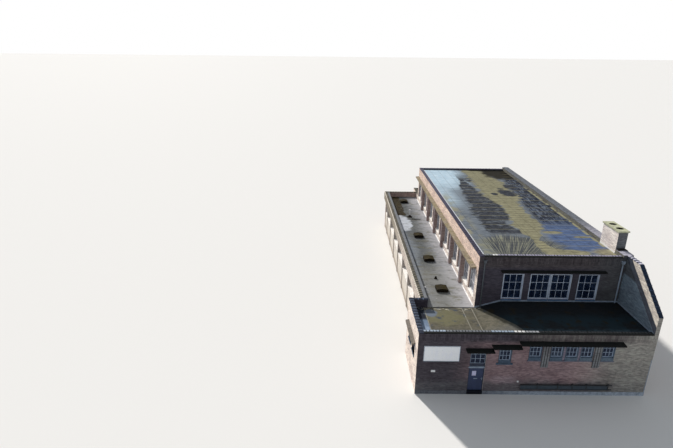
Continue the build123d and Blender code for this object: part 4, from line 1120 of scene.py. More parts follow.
def wing_roof_material():
    """The wing's felt, with a brown stain and a wet place toward the back of its west side, painted pale as
    a sky reflection.
    """
    felt = Felt("wing_felt", 0.7, WING_FELT_GLOSS, 3.0, WING_DRAWN, (1, 2, 0))
    wander = felt.noise(0.8, shift=(4, 2, 0))
    colour = wing_roof_ground(felt, wander)
    brown = felt.times(felt.ramp(felt.scaled(wander, 0.5, felt.y), *WING_STAIN_FROM),
                       felt.ramp(felt.plus(wander, felt.x), *WING_STAIN_TO, 1.0, 0.0))
    colour = felt.mix(brown, colour, felt.speckled(0.4, 0.6, paint(34, 28, 17), paint(58, 50, 30)))
    # The wet place is painted pale, as a painted sky reflection on water.
    wet = felt.patch(*WING_POOL, ragged=0.5, edge=0.12, shift=(2, 3, 0))
    colour = felt.part(wet, felt.ramp(felt.y, 28.1, 28.2, 1.0, 0.0), colour, paint(186, 192, 202))
    run = felt.plus(felt.oval(*WING_RUN), wander)
    colour = felt.mix(felt.ramp(run, 1.2, 1.5, 0.8, 0.0), colour, paint(50, 50, 50))
    seams = felt.seams(1.0, 0.05)
    colour = felt.part(seams, 0.35, colour, paint(70, 74, 78))
    colour = felt.grime(colour, paint(168, 168, 164), 7.0, 0.62, 0.72, shift=(3, 1, 0))
    colour = felt.grime(colour, felt.tint(colour, 0.7, 0.7, 0.68), 1.6, 0.5, 0.7, shift=(9, 1, 0))
    return felt.finish(colour, felt.bump(seams, 0.008, 0.4, felt.bump(felt.noise(18.0), 0.008, 0.4)))


def annexe_west_felt(felt):
    """Mossy felt in the sun: wet along the west wall, painted blue there as skylight and dark toward the
    back as the return wall's painted shadow, with a pool painted as a sky reflection; flecked by the wing,
    with pale seams.
    """
    colour = felt.speckled(0.34, 0.62, paint(108, 104, 92), paint(80, 78, 68))
    moss = felt.patch(*ANNEXE_MOSS, ragged=0.8, edge=0.3, shift=(5, 5, 0))
    colour = felt.part(moss, 0.7, colour, paint(112, 110, 84))
    colour = felt.grime(colour, paint(70, 76, 84), 1.6, 0.56, 0.7, shift=(6, 0, 0))
    colour = felt.mix(felt.ramp(felt.y, 1.0, 2.2, 0.35, 0.0), colour, paint(84, 88, 96))
    # Painted light along the west wall: the wet strip is painted blue as skylight, paler toward the street,
    # and dark toward the back as the painted shadow of the return wall.
    wet = felt.ramp(felt.scaled(felt.noise(0.8), 0.3, felt.x), 1.25, 1.4, 1.0, 0.0)
    by_wall = felt.mix(felt.ramp(felt.y, 1.6, 2.8), paint(142, 160, 185), paint(108, 126, 150))
    by_wall = felt.mix(felt.ramp(felt.y, 2.9, 3.3), by_wall, paint(30, 36, 48))
    colour = felt.mix(wet, colour, felt.grime(by_wall, felt.tint(by_wall, 0.6, 0.6, 0.64), 3.4))
    # The pool is painted bluish as a painted sky reflection.
    pool = felt.patch(*ANNEXE_POOL, ragged=0.4, edge=0.2, shift=(3, 3, 0))
    colour = felt.mix(pool, colour, paint(104, 114, 128))
    flecks = felt.ramp(felt.noise(5.0, (0.6, 1.6, 1), (2, 2, 0)), 0.58, 0.64)
    colour = felt.part(flecks, felt.ramp(felt.y, 4.2, 4.8), colour, paint(196, 194, 180))
    for x in ANNEXE_SEAMS:
        away = felt.math("ABSOLUTE", felt.minus(felt.x, x))
        seam = felt.times(felt.ramp(away, 0.02, 0.05, 1.0, 0.0), felt.ramp(felt.fine, 0.3, 0.6))
        colour = felt.part(seam, 0.8, colour, paint(156, 154, 144))
    return colour


def annexe_shaded_felt(felt):
    """Wet felt painted near-black as painted shade where the hall's shadow falls, with a painted sheen."""
    shade = felt.speckled(0.35, 0.6, paint(14, 17, 22), paint(24, 28, 32))
    sheen = felt.times(felt.ramp(felt.y, 3.4, 2.2), felt.ramp(felt.noise(0.7, shift=(1, 1, 0)), 0.4, 0.55))
    shade = felt.mix(sheen, shade, paint(24, 38, 46))
    shade = felt.grime(shade, paint(30, 27, 20), 1.2, 0.56, 0.66, shift=(1, 1, 0))
    rim = felt.times(felt.ramp(felt.y, 1.1, 0.6), felt.ramp(felt.fine, 0.4, 0.6))
    return felt.mix(rim, shade, paint(50, 68, 78))


def annexe_roof_material():
    """The annexe's felt, split by the edge of the shadow that runs from the hall's corner; beyond it the
    felt is painted dark as painted shade.
    """
    felt = Felt("annexe_felt", 0.7, ANNEXE_FELT_GLOSS, 3.4, (0.7, 1.3, 1), (6, 2, 0))
    front = site_box("hall_front_wall")[0]
    edge = felt.scaled(felt.minus(front.y, felt.y), SHADOW_LEAN, front.x + 0.25)
    # Painted shade: the felt beyond the hall's shadow edge takes the near-black shaded colours.
    in_shade = felt.ramp(felt.minus(felt.x, edge), 0.0, 0.12)
    colour = felt.mix(in_shade, annexe_west_felt(felt), annexe_shaded_felt(felt))
    return felt.finish(colour, felt.bump(felt.noise(16.0), 0.01, 0.5))


def rear_roof_material():
    """Plain felt on the rear block, with a little moss."""
    graph = Graph("rear_felt", 0.75)
    colour = graph.grime(paint(92, 95, 98), paint(74, 78, 82), 1.0, 0.4, 0.65, (0.5, 1.2, 1))
    colour = graph.grime(colour, paint(104, 104, 84), 2.0, 0.55, 0.75)
    return graph.finish(colour, graph.bump(graph.noise(16.0), 0.008, 0.4))


def make_looks():
    """All materials by the name of their look."""
    looks = {
        "brick": brick_material(),
        "wing_brick": wing_brick_material(),
        "render": render_material(),
        "cap": cap_material(),
        "wing_tiles": wing_tile_material(),
        "hall_felt": hall_roof_material(),
        "wing_felt": wing_roof_material(),
        "annexe_felt": annexe_roof_material(),
        "rear_felt": rear_roof_material(),
    }
    for table, make in ((STONES, stone_material), (GRADED_STONES, graded_stone_material),
                        (PAINTS, paint_material), (METALS, metal_material), (GLASSES, glass_material),
                        (PALE_BRICKS, pale_brick_material)):
        for name, values in table.items():
            looks[name] = make(name, *values)
    return looks


def dress_nodes(looks):
    """Gives the CAD nodes their materials."""
    for look, nodes in DRESSES.items():
        for node in nodes:
            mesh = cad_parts[node].data
            mesh.materials.clear()
            mesh.materials.append(looks[look])


def saddle(middle, half, foot, edge, crown):
    """The outline of a low gable: its middle, half its width, its foot, its sides' tops and its crown."""
    return [(middle - half, foot), (middle + half, foot), (middle + half, edge), (middle, crown),
            (middle - half, edge)]


class Tiling:
    """Saddleback coping tiles laid end to end, and the raised rolls over their joints."""

    def __init__(self, seed):
        self.tiles = Shape()
        self.rolls = Shape()
        self.rng = random.Random(seed)

    def run(self, start, end, width, thickness, pitch=TILE_PITCH, roll_length=ROLL_LENGTH):
        start = Vector(start)
        path = Vector(end) - start
        count = max(1, round(path.length / pitch))
        step = path.length / count
        along = path.normalized()
        across = along.cross(Vector((0, 0, 1))).normalized()
        up = across.cross(along)
        turn = Matrix.Translation(start) @ Matrix((along, across, up)).transposed().to_4x4()
        half = width / 2
        roll = half + ROLL_PROUD
        shoulder = thickness * TILE_SHOULDER
        roll_shoulder = shoulder + ROLL_PROUD / 2
        for index in range(count):
            lift = self.rng.uniform(-TILE_LIFT, TILE_LIFT)
            slip = self.rng.uniform(-TILE_LIFT, TILE_LIFT)
            tile = saddle(slip, half, 0, shoulder + lift, thickness + lift)
            self.tiles.prism(tile, "x", index * step, (index + 1) * step - TILE_JOINT, turn)
            joint = (index + 1) * step - TILE_JOINT / 2
            if index < count - 1:
                over = saddle(slip, roll, -ROLL_SUNK, roll_shoulder + lift, thickness + ROLL_PROUD + lift)
                self.rolls.prism(over, "x", joint - roll_length / 2, joint + roll_length / 2, turn)

    def pieces(self, name, tile_look, roll_look, node=None):
        stands_for = [node] if node else []
        self.tiles.piece(f"{name}_tiles", tile_look, "coping", stands_for=stands_for, bevel=BOARD_BEVEL)
        self.rolls.piece(f"{name}_rolls", roll_look, "coping", bevel=BOARD_BEVEL)


def coping_box(node):
    """A coping's lowest and highest corners, and how thick it is."""
    low, high = site_box(node)
    return low, high, high.z - low.z


def annexe_coping(looks):
    """Tiles along the annexe's west wall and its short return."""
    low, high, thick = coping_box("annexe_west_coping")
    wall = site_box("front_wall_west")[1].y
    width = wall + 2 * COPING_LIP
    tiling = Tiling(seed=11)
    tiling.run((wall / 2, low.y, low.z), (wall / 2, high.y, low.z), width, thick)
    rear = site_box("annexe_west_wall")[1].y
    front = site_box("annexe_roof")[1].y
    y = (rear + front) / 2
    depth = rear - front + 2 * COPING_LIP
    tiling.run((wall + COPING_LIP, y, low.z), (high.x, y, low.z), depth, thick)
    tiling.pieces("annexe_coping", looks["slate_tiles"], looks["slate_rolls"], "annexe_west_coping")


def wing_coping(looks):
    """Tiles over the parapet's outer edge, and felt turned up over the rest of its top."""
    low, high, thick = coping_box("wing_coping")
    wall = solids("wing_band")[0]
    roof = site_box("wing_roof")
    end_wall = site_box("wing_end_wall")
    middle = (wall[0].x + roof[0].x) / 2
    width = roof[0].x - wall[0].x + 2 * COPING_LIP
    tiling = Tiling(seed=12)
    tiling.run((middle, low.y, low.z), (middle, high.y, low.z), width, thick, WING_TILE_PITCH)
    inner = middle + width / 2
    y = (end_wall[0].y + end_wall[1].y) / 2
    depth = end_wall[1].y - end_wall[0].y + 2 * COPING_LIP
    tiling.run((inner, y, low.z), (high.x, y, low.z), depth, thick, WING_TILE_PITCH)
    tiling.pieces("wing_coping", looks["wing_tiles"], looks["wing_rolls"], "wing_coping")
    strip = Shape()
    strip.block((inner, low.y, low.z), (inner + EDGE_STRIP, end_wall[0].y, low.z + FELT_THICKNESS))
    strip.piece("wing_edge_strip", looks["rail"], "pipe")
    felt = Shape()
    felt.block((inner + EDGE_STRIP, low.y, low.z),
               (wall[1].x + FELT_THICKNESS, end_wall[0].y, low.z + FELT_THICKNESS))
    felt.block((wall[1].x, low.y, roof[1].z), (wall[1].x + FELT_THICKNESS, end_wall[0].y, low.z))
    felt.piece("wing_upturn", looks["upturn"], "bitumen")


def hall_copings(looks):
    """Tiles along the hall's west and rear walls, and along its east wall to both sides of the chimney."""
    low, high, thick = coping_box("hall_coping")
    band = site_box("hall_west_band")
    rear = site_box("hall_rear_wall")
    middle = (band[0].x + band[1].x) / 2
    width = band[1].x - band[0].x + 2 * COPING_LIP
    tiling = Tiling(seed=13)
    tiling.run((middle, low.y, low.z), (middle, high.y, low.z), width, thick)
    y = (rear[0].y + rear[1].y) / 2
    tiling.run((middle + width / 2, y, low.z), (high.x, y, low.z), width, thick)
    tiling.pieces("hall_coping", looks["navy_tiles"], looks["navy_rolls"], "hall_coping")
    low, high, thick = coping_box("hall_east_coping")
    stack = site_box("chimney")
    middle = (low.x + high.x) / 2
    width = high.x - low.x - 2 * (ROLL_PROUD + COPING_LIP)
    tiling = Tiling(seed=16)
    tiling.run((middle, low.y, low.z), (middle, stack[0].y, low.z), width, thick)
    tiling.run((middle, stack[1].y, low.z), (middle, high.y, low.z), width, thick)
    tiling.pieces("hall_east_coping", looks["east_tiles"], looks["east_tiles"], "hall_east_coping")


def raking_coping(looks):
    """Tiles up the raking wall's slope and along its level top."""
    wall = site_box("raking_wall")
    high = site_box("raking_coping")[1]
    thick = high.z - wall[1].z
    middle = (wall[0].x + wall[1].x) / 2
    width = wall[1].x - wall[0].x + 2 * COPING_LIP
    bend = (middle, rake_run(), wall[1].z)
    slope = Tiling(seed=14)
    slope.run((middle, 0, rake_foot_level()), bend, width, thick)
    slope.pieces("raking_slope", looks["rake_tiles"], looks["rake_rolls"])
    top = Tiling(seed=17)
    top.run(bend, (middle, high.y, wall[1].z), width, thick, TOP_TILE_PITCH, TOP_ROLL_LENGTH)
    top.pieces("raking_top", looks["top_tiles"], looks["top_rolls"], "raking_coping")


def rake_points():
    """The raking wall's corners as y and z on the site."""
    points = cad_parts["raking_wall"].data.vertices
    return {(round(v.co.y - SITE.y, 3), round(v.co.z, 3)) for v in points}


def rake_foot_level():
    """How high the raking wall stands at the street."""
    return max(z for y, z in rake_points() if y < NEAR)


def rake_run():
    """How far from the street the raking wall's slope reaches its level top."""
    top = max(z for y, z in rake_points())
    return min(y for y, z in rake_points() if z > top - NEAR)


def rear_coping(looks):
    """Tiles along the rear block's side walls and rear wall."""
    low, high, thick = coping_box("rear_coping")
    north = site_box("rear_wall")
    wall = north[1].y - north[0].y
    width = wall + 2 * COPING_LIP
    tiling = Tiling(seed=15)
    for x in (north[0].x + wall / 2, north[1].x - wall / 2):
        tiling.run((x, low.y, low.z), (x, high.y, low.z), width, thick)
    y = (north[0].y + north[1].y) / 2
    inset = wall + COPING_LIP
    tiling.run((north[0].x + inset, y, low.z), (north[1].x - inset, y, low.z), width, thick)
    tiling.pieces("rear_coping", looks["wing_tiles"], looks["wing_rolls"], "rear_coping")


def window_bars(shape, low, high, face, columns, rows, ring=RING, faces_side=False):
    """A casement with glazing bars inside the frame of a window that faces the street or a side."""

    def box(along, deep, up):
        x, y = (deep, along) if faces_side else (along, deep)
        shape.block((x[0], y[0], up[0]), (x[1], y[1], up[1]))

    axis = 1 if faces_side else 0
    start, end = low[axis] + ring, high[axis] - ring
    foot, head = low.z + ring, high.z - ring
    inside = (start + CASEMENT, end - CASEMENT)
    deep = (face, face + BAR_DEPTH)
    for along in ((start, start + CASEMENT), (end - CASEMENT, end)):
        box(along, deep, (foot, head))
    for up in ((foot, foot + CASEMENT), (head - CASEMENT, head)):
        box(inside, deep, up)
    for index in range(1, columns):
        spot = start + (end - start) * index / columns
        box((spot - BAR / 2, spot + BAR / 2), deep, (foot + CASEMENT, head - CASEMENT))
    for index in range(1, rows):
        level = foot + (head - foot) * index / rows
        box(inside, (deep[0] + BAR_STEP, deep[1] - BAR_STEP), (level - BAR / 2, level + BAR / 2))


def side_window(frames, bars, low, high, face, columns, rows):
    """A frame and its bars in a wall that faces west or east."""
    inner_low, inner_high = low.y + SIDE_FRAME, high.y - SIDE_FRAME
    frames.block(low, (high.x, inner_low, high.z))
    frames.block((low.x, inner_high, low.z), high)
    frames.block((low.x, inner_low, low.z), (high.x, inner_high, low.z + SIDE_FRAME))
    frames.block((low.x, inner_low, high.z - SIDE_FRAME), (high.x, inner_high, high.z))
    window_bars(bars, low, high, face, columns, rows, SIDE_FRAME, True)


def annexe_windows(looks):
    """Bars of the street and west windows, with boards down the street windows' sides and sills."""
    bars = Shape()
    boards = Shape()
    sills = Shape()
    door_end = site_box("door_frame")[1].x
    for low, high in solids("annexe_window_frames"):
        faces_side = high.x - low.x < high.y - low.y
        face = (low.x if faces_side else low.y) + BAR_INSET
        window_bars(bars, low, high, face, COLUMNS, ROWS, faces_side=faces_side)
        if faces_side:
            boards.block((-SILL_PROUD, low.y, low.z - RAIL_DEPTH), (low.x, high.y, low.z))
            continue
        foot = apron_foot(low.x)
        for x in (low.x - SIDE_BOARD / 2, high.x - SIDE_BOARD / 2):
            boards.block((x, -SIDE_BOARD_PROUD, foot), (x + SIDE_BOARD, low.y, high.z))
        rail_low = (low.x + SIDE_BOARD / 2, -SIDE_BOARD_PROUD, low.z - RAIL_DEPTH)
        boards.block(rail_low, (high.x - SIDE_BOARD / 2, low.y, low.z + RAIL_DEPTH / 2))
        if low.x > door_end + CLASS_WINDOWS_FROM:
            sills.block((low.x - SILL_BEYOND, -SILL_PROUD, foot - SILL_DEPTH),
                        (high.x + SILL_BEYOND, 0, foot))
    bars.piece("annexe_window_bars", looks["blue_white"], "frame", bevel=BAR_BEVEL)
    boards.piece("annexe_window_boards", looks["apron"], "frame", bevel=BOARD_BEVEL)
    sills.piece("annexe_window_sills", looks["window_sill"], "concrete", bevel=BOARD_BEVEL)


def apron_foot(x):
    """The foot of the apron under the street window that begins at x."""
    return min(low.z for low, high in solids("window_aprons") if low.x < x + SIDE_BOARD and high.x > x)


def hall_end_windows(looks):
    """Bars of the hall's end windows and the rear block's, with pale jambs on the hall's front."""
    bars = Shape()
    jambs = Shape()
    hall = site_box("hall_front_wall")
    annexe_top = site_box("front_wall_band")[1].z
    for low, high in solids("end_window_frames"):
        to_rear = low.y > hall[1].y + 1
        face = high.y - BAR_INSET - BAR_DEPTH if to_rear else low.y + BAR_INSET
        on_hall = high.z > annexe_top
        window_bars(bars, low, high, face, COLUMNS, ROWS if on_hall else LOW_ROWS)
        if on_hall and not to_rear:
            for x in (low.x - JAMB / 2, high.x - JAMB / 2):
                jambs.block((x, hall[0].y - JAMB_PROUD, low.z), (x + JAMB, low.y, high.z))
    bars.piece("hall_end_bars", looks["hall_white"], "frame", bevel=BAR_BEVEL)
    jambs.piece("hall_end_jambs", looks["hall_white"], "frame", bevel=BOARD_BEVEL)


def pier_gaps(node, level):
    """The clear stretches of y between the solids of a node that cross a level."""
    edges = sorted((low.y, high.y) for low, high in solids(node) if low.z < level < high.z)
    return [(a[1], b[0]) for a, b in zip(edges, edges[1:]) if b[0] - a[1] > LEAST_GAP]


def hall_side_windows(looks):
    """Frames and bars of the fourteen windows on each long side, and the east side's sills."""
    frames = Shape()
    bars = Shape()
    sills = Shape()
    panes = Shape()
    west_sills = site_box("hall_west_sills")
    east = site_box("hall_east_wall")
    band = site_box("hall_west_band")[0]
    head = band.z
    level = (west_sills[1].z + head) / 2
    for y0, y1 in pier_gaps("hall_west_piers", level):
        low = Vector((band.x + WEST_SETBACK, y0, west_sills[0].z + WEST_FRAME_FOOT))
        high = Vector((low.x + SIDE_FRAME, y1, head))
        panes.block((high.x, y0, low.z), (high.x + PANE_THICKNESS, y1, head))
        side_window(frames, bars, low, high, low.x + BAR_INSET, COLUMNS, ROWS)
    for y0, y1 in pier_gaps("hall_east_piers", level):
        low = Vector((east[0].x, y0, east[1].z))
        high = Vector((east[0].x + SIDE_FRAME, y1, head))
        side_window(frames, bars, low, high, high.x - BAR_INSET - BAR_DEPTH, COLUMNS, ROWS)
        edge = east[1].x + EAST_SILL_PROUD
        outline = [(high.x, low.z), (edge, low.z), (edge, low.z + EAST_SILL_EDGE),
                   (high.x, low.z + EAST_SILL_RISE)]
        sills.prism(outline, "y", y0 + EAST_SILL_GAP, y1 - EAST_SILL_GAP)
    panes.piece("hall_west_panes", looks["side_glass"], "glass")
    frames.piece("hall_side_frames", looks["white"], "frame", bevel=BOARD_BEVEL)
    bars.piece("hall_side_bars", looks["white"], "frame", bevel=BAR_BEVEL)
    sills.piece("hall_east_sills", looks["pale_sill"], "concrete", bevel=SILL_BEVEL)


def wing_windows(looks):
    """Frames and bars of the corridor's wide windows."""
    frames = Shape()
    bars = Shape()
    sill = site_box("wing_sills")[1].z
    head = site_box("wing_band")[0].z
    glass = solids("side_glass")[0][0].x
    for y0, y1 in pier_gaps("wing_piers", (sill + head) / 2):
        low = Vector((glass - SIDE_FRAME, y0, sill))
        high = Vector((glass, y1, head))
        columns = max(LEAST_COLUMNS, round((y1 - y0) / WING_PANE_WIDTH))
        side_window(frames, bars, low, high, low.x + BAR_INSET, columns, LOW_ROWS)
    frames.piece("wing_frames", looks["white"], "frame", bevel=BOARD_BEVEL)
    bars.piece("wing_bars", looks["white"], "frame", bevel=BAR_BEVEL)


def door_details(looks):
    """Panels, letter plate, handle and a bare notice on the leaf, which swing with it."""
    low, high = site_box("street_door")
    face = low.y
    front = face - BOARD_PROUD
    boards = Shape()
    for x in (low.x, high.x - STILE):
        boards.block((x, front, low.z), (x + STILE, face, high.z))
    for share, depth in DOOR_RAILS:
        z = low.z + share * (high.z - low.z - depth)
        boards.block((low.x + STILE, front, z), (high.x - STILE, face, z + depth))
    step = (high.x - low.x - 2 * STILE) / BOARD_COUNT
    for index in range(BOARD_COUNT):
        x = low.x + STILE + index * step
        boards.block((x + BOARD_GAP, face - BOARD_PROUD / 2, low.z + STILE),
                     (x + step - BOARD_GAP, face, high.z - STILE))
    boards.piece("door_boards", looks["door"], "door", body=DOOR, bevel=BAR_BEVEL)
    fittings = Shape()
    grip = low.z + GRIP_HEIGHT
    for part in HANDLE:
        fittings.block_from((high.x - STILE / 2, front, grip), *part)
    fittings.block_from(((low.x + high.x) / 2, front, grip), *LETTER_PLATE)
    fittings.piece("door_fittings", looks["light_pipe"], "pipe", body=DOOR, bevel=BAR_BEVEL)
    notice = Shape()
    notice.block_from((low.x, front, low.z), *NOTICE)
    notice.piece("door_notice", looks["paper"], "board", body=DOOR)


def transom(looks):
    """Glazing bars over the street door and the pale drip bar under them."""
    frame_low, frame_high = site_box("door_frame")
    panes = [box for box in solids("annexe_glass") if box[0].x > frame_low.x and box[1].x < frame_high.x]
    bars = Shape()
    window_bars(bars, *panes[0], frame_low.y + BAR_INSET, COLUMNS, ROWS, ring=0)
    bars.piece("transom_bars", looks["light_pipe"], "frame", bevel=BAR_BEVEL)
    bar = Shape()
    foot = site_box("street_door")[1].z + DRIP_BAR_ABOVE
    outline = [(-DRIP_BAR_PROUD, foot), (frame_low.y, foot), (frame_low.y, foot + DRIP_BAR),
               (-DRIP_BAR_PROUD, foot + DRIP_BAR * DRIP_BAR_LIP)]
    bar.prism(outline, "x", frame_low.x - DRIP_BAR_PROUD, frame_high.x - DRIP_BAR_PROUD)
    bar.piece("door_drip_bar", looks["light_pipe"], "frame", bevel=PANE_BEVEL)


def rooflights(looks):
    """Low rooflights: a dark kerb, a mossy pitched glazing and its bars."""
    kerbs = Shape()
    panes = Shape()
    bars = Shape()
    for low, high in solids("rooflights"):
        top = high.z - ROOFLIGHT_CROWN
        foot = top - ROOFLIGHT_LIP
        bar_top = top + BAR / 2
        kerbs.block(low, (high.x, high.y, foot))
        middle = (low.x + high.x) / 2
        outline = [(low.x, foot), (high.x, foot), (high.x, top), (middle, high.z), (low.x, top)]
        panes.prism(outline, "y", low.y, high.y)
        outline = [(low.x, top), (high.x, top), (high.x, bar_top), (middle, high.z + BAR / 2),
                   (low.x, bar_top)]
        for index in range(ROOFLIGHT_PANES + 1):
            y = low.y + BAR / 2 + (high.y - low.y - BAR) * index / ROOFLIGHT_PANES
            bars.prism(outline, "y", y - BAR / 2, y + BAR / 2)
        bars.block((middle - BAR, low.y, high.z - BAR), (middle + BAR, high.y, high.z + BAR / 2))
    kerbs.piece("rooflight_kerbs", looks["kerb"], "bitumen", bevel=KERB_BEVEL)
    panes.piece("rooflight_panes", looks["moss_glass"], "glass", stands_for=["rooflights"], bevel=PANE_BEVEL)
    bars.piece("rooflight_bars", looks["moss_glass"], "frame", bevel=BOARD_BEVEL)


def roof_vent(looks):
    """A vent pipe with a pointed cowl in a dark skirt, a small dark vent and a pale outlet."""
    low, high = site_box("roof_vent")
    middle = ((low.x + high.x) / 2, (low.y + high.y) / 2, low.z)
    height = high.z - low.z
    pipe = Shape()
    pipe.turned([(PIPE_RADIUS, 0.0), (PIPE_RADIUS, height - PIPE_BELOW)], middle)
    pipe.turned([(radius, height - drop) for radius, drop in COWL], middle)
    pipe.piece("vent_pipe", looks["lead"], "pipe", stands_for=["roof_vent"])
    skirt = Shape()
    skirt.turned(SKIRT, middle)
    skirt.turned(SMALL_VENT, (*SMALL_VENT_PLACE, low.z))
    skirt.piece("vent_skirt", looks["kerb"], "bitumen")
    outlet = Shape()
    outlet.turned(OUTLET, (*OUTLET_PLACE, low.z))
    outlet.piece("roof_outlet", looks["lead"], "pipe")


def flashings(looks):
    """Pale lead by the wing's roof and the chimney, dull metal on the annexe's, and the hall roof's edge."""
    hall = site_box("hall_west_wall")
    deck = site_box("hall_roof")
    stack = site_box("chimney")
    stack_face = stack[0].x - FLASHING
    roof = site_box("wing_roof")[1].z
    start = hall[0].y + FRONT_SETBACK
    lead = Shape()
    lead.block((hall[0].x - FLASHING, start, roof), (hall[0].x, hall[1].y, roof + LEAD_HEIGHT))
    lead.block((hall[0].x - LEAD_REACH, start, roof), (hall[0].x - FLASHING, hall[1].y, roof + FLASHING))
    lead.block((stack_face - FLASHING, stack[0].y, deck[1].z), (stack_face, stack[1].y, deck[1].z + UPSTAND))
    lead.piece("lead_flashings", looks["lead"], "pipe")
    skin = Shape()
    skin.block((stack_face, stack[0].y, deck[1].z), (stack[0].x, stack[1].y, stack[0].z))
    skin.piece("chimney_foot", looks["chimney_brick"], "brick")
    annexe = site_box("annexe_roof")
    front = site_box("hall_front_wall")[0]
    slope_end, level = annexe_slope_end(), annexe[1].z
    low_level = annexe_low_level()
    face = front.y - FLASHING
    dull = Shape()
    dull.block((slope_end, face, level), (annexe[1].x, front.y, level + UPSTAND))
    foot = [(front.x, low_level), (slope_end, level), (slope_end, level + UPSTAND),
            (front.x, low_level + UPSTAND)]
    dull.prism(foot, "y", face, front.y)
    dull.block((annexe[1].x - FLASHING, annexe[0].y, level), (annexe[1].x, face, level + UPSTAND))
    dull.piece("dull_flashings", looks["light_pipe"], "pipe")
    edge = Shape()
    edge.block((deck[0].x, deck[0].y, deck[1].z),
               (deck[0].x + ROOF_EDGE_WIDTH, deck[1].y, deck[1].z + ROOF_EDGE_HEIGHT))
    edge.piece("hall_roof_edge", looks["roof_edge"], "pipe")


def annexe_slope_end():
    """Where the annexe roof's slope meets its level part."""
    top = site_box("annexe_roof")[1].z
    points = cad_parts["annexe_roof"].data.vertices
    return min(v.co.x - SITE.x for v in points if v.co.z > top - NEAR)


def annexe_low_level():
    """How high the annexe roof's low part lies."""
    west = site_box("annexe_roof")[0].x
    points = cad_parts["annexe_roof"].data.vertices
    return max(v.co.z for v in points if v.co.x - SITE.x < west + NEAR)


def front_edge(looks):
    """Short strips of metal along the rear of the two front copings, each stretch with its own look."""
    strips = {look: Shape() for reach, look in STREET_EDGE + HALL_EDGE}
    rng = random.Random(21)
    for (low, high), stretches in zip(solids("front_copings"), (STREET_EDGE, HALL_EDGE)):
        x = low.x
        while x < high.x - EDGE_DASH:
            look = next(name for reach, name in stretches if x < reach)
            stop = min(high.x, x + EDGE_DASH * rng.uniform(0.8, 1.2))
            top = high.z + EDGE_PROUD * rng.uniform(0.7, 1.3)
            strips[look].block((x, high.y - EDGE_DEPTH, high.z), (stop, high.y, top))
            x = stop + EDGE_GAP * rng.uniform(0.5, 1.5)
    for look, strip in strips.items():
        strip.piece(f"front_edge_{look}", looks[look], "pipe", bevel=STRIP_BEVEL)


def rail_panels(looks):
    """Sheet panels between the bars and posts of the wall rail."""
    low, high = site_box("wall_rail")
    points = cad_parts["wall_rail"].data.vertices
    sides = sorted({round(v.co.x - SITE.x, 3) for v in points if v.co.z > high.z - NEAR})
    posts = [(a + b) / 2 for a, b in zip(sides[0::2], sides[1::2])]
    panels = Shape()
    for a, b in zip([low.x] + posts, posts):
        panels.block((a + PANEL_INSET, low.y + PANEL_DEPTH[0], low.z + PANEL_LEVELS[0]),
                     (b - PANEL_INSET, low.y + PANEL_DEPTH[1], low.z + PANEL_LEVELS[1]))
    panels.piece("rail_panels", looks["panel"], "panel", bevel=STRIP_BEVEL)


def wall_fittings(looks):
    """A rim round the board, a small plate, a square lamp and a pale strip at the east corner."""
    low, high = site_box("sign_board")
    x0, x1, z0, z1 = low.x, high.x, low.z, high.z
    rim = Shape()
    for a, b in (((x0, z0), (x1, z0 + BOARD_RIM)), ((x0, z1 - BOARD_RIM), (x1, z1)),
                 ((x0, z0 + BOARD_RIM), (x0 + BOARD_RIM, z1 - BOARD_RIM)),
                 ((x1 - BOARD_RIM, z0 + BOARD_RIM), (x1, z1 - BOARD_RIM))):
        rim.block((a[0], low.y - BOARD_RIM / 2, a[1]), (b[0], low.y, b[1]))
    rim.piece("board_rim", looks["light_pipe"], "board", bevel=BAR_BEVEL)
    plate = Shape()
    plate.block(*PLATE)
    plate.block(*LAMP)
    plate.piece("wall_plate", looks["white"], "board", bevel=BAR_BEVEL)
    strip = Shape()
    strip.block_from((site_box("raking_wall")[1].x, 0, 0), *CORNER_STRIP)
    strip.piece("corner_strip", looks["light_pipe"], "pipe")


def downpipe_heads(looks):
    """A hopper at the top of each downpipe and collars on it; the eastern one is painted pale."""
    wall = site_box("hall_front_wall")[0].y
    for index, (low, high) in enumerate(solids("downpipes")):
        heads = Shape()
        x = (low.x + high.x) / 2
        radius = x - low.x
        y = low.y + radius
        foot = high.z - HOPPER_HEIGHT
        heads.prism([(x - HOPPER_FOOT, foot), (x + HOPPER_FOOT, foot), (x + HOPPER_TOP, high.z),
                     (x - HOPPER_TOP, high.z)], "y", y - HOPPER_PROUD, wall)
        skin = radius + PIPE_SKIN
        heads.turned([(skin, 0.0), (skin, high.z - low.z - HOPPER_HEIGHT)], (x, y, low.z), PIPE_SIDES)
        collar = radius + COLLAR_PROUD
        for share in COLLAR_SHARES:
            z = low.z + (high.z - low.z) * share
            heads.turned([(collar, -COLLAR_HALF), (collar, COLLAR_HALF)], (x, y, z), PIPE_SIDES)
        heads.turned([(radius + 0.002, -0.20), (radius + 0.002, 0.0)], (x, y, low.z), PIPE_SIDES)
        look = looks["light_pipe"] if index else looks["pipe"]
        heads.piece(f"downpipe_head_{index + 1}", look, "pipe", bevel=BAR_BEVEL)


def flue_pots(looks):
    """Sooty linings in the chimney's two flues, and the dark felt at its south foot."""
    cap_low, cap_high = site_box("chimney_cap")
    low, high = site_box("chimney")
    tiles = site_box("hall_east_coping")
    middle = (cap_low.x + cap_high.x) / 2
    soot = Shape()
    for share in (1 / 4, 3 / 4):
        y = low.y + (high.y - low.y) * share
        soot.turned(FLUE_LINING, (middle, y, cap_high.z), 24)
    soot.block((low.x, low.y - SOOT_REACH, tiles[0].z), (high.x, low.y, tiles[1].z + ROLL_PROUD + ROLL_SUNK))
    soot.piece("flue_soot", looks["soot"], "bitumen")


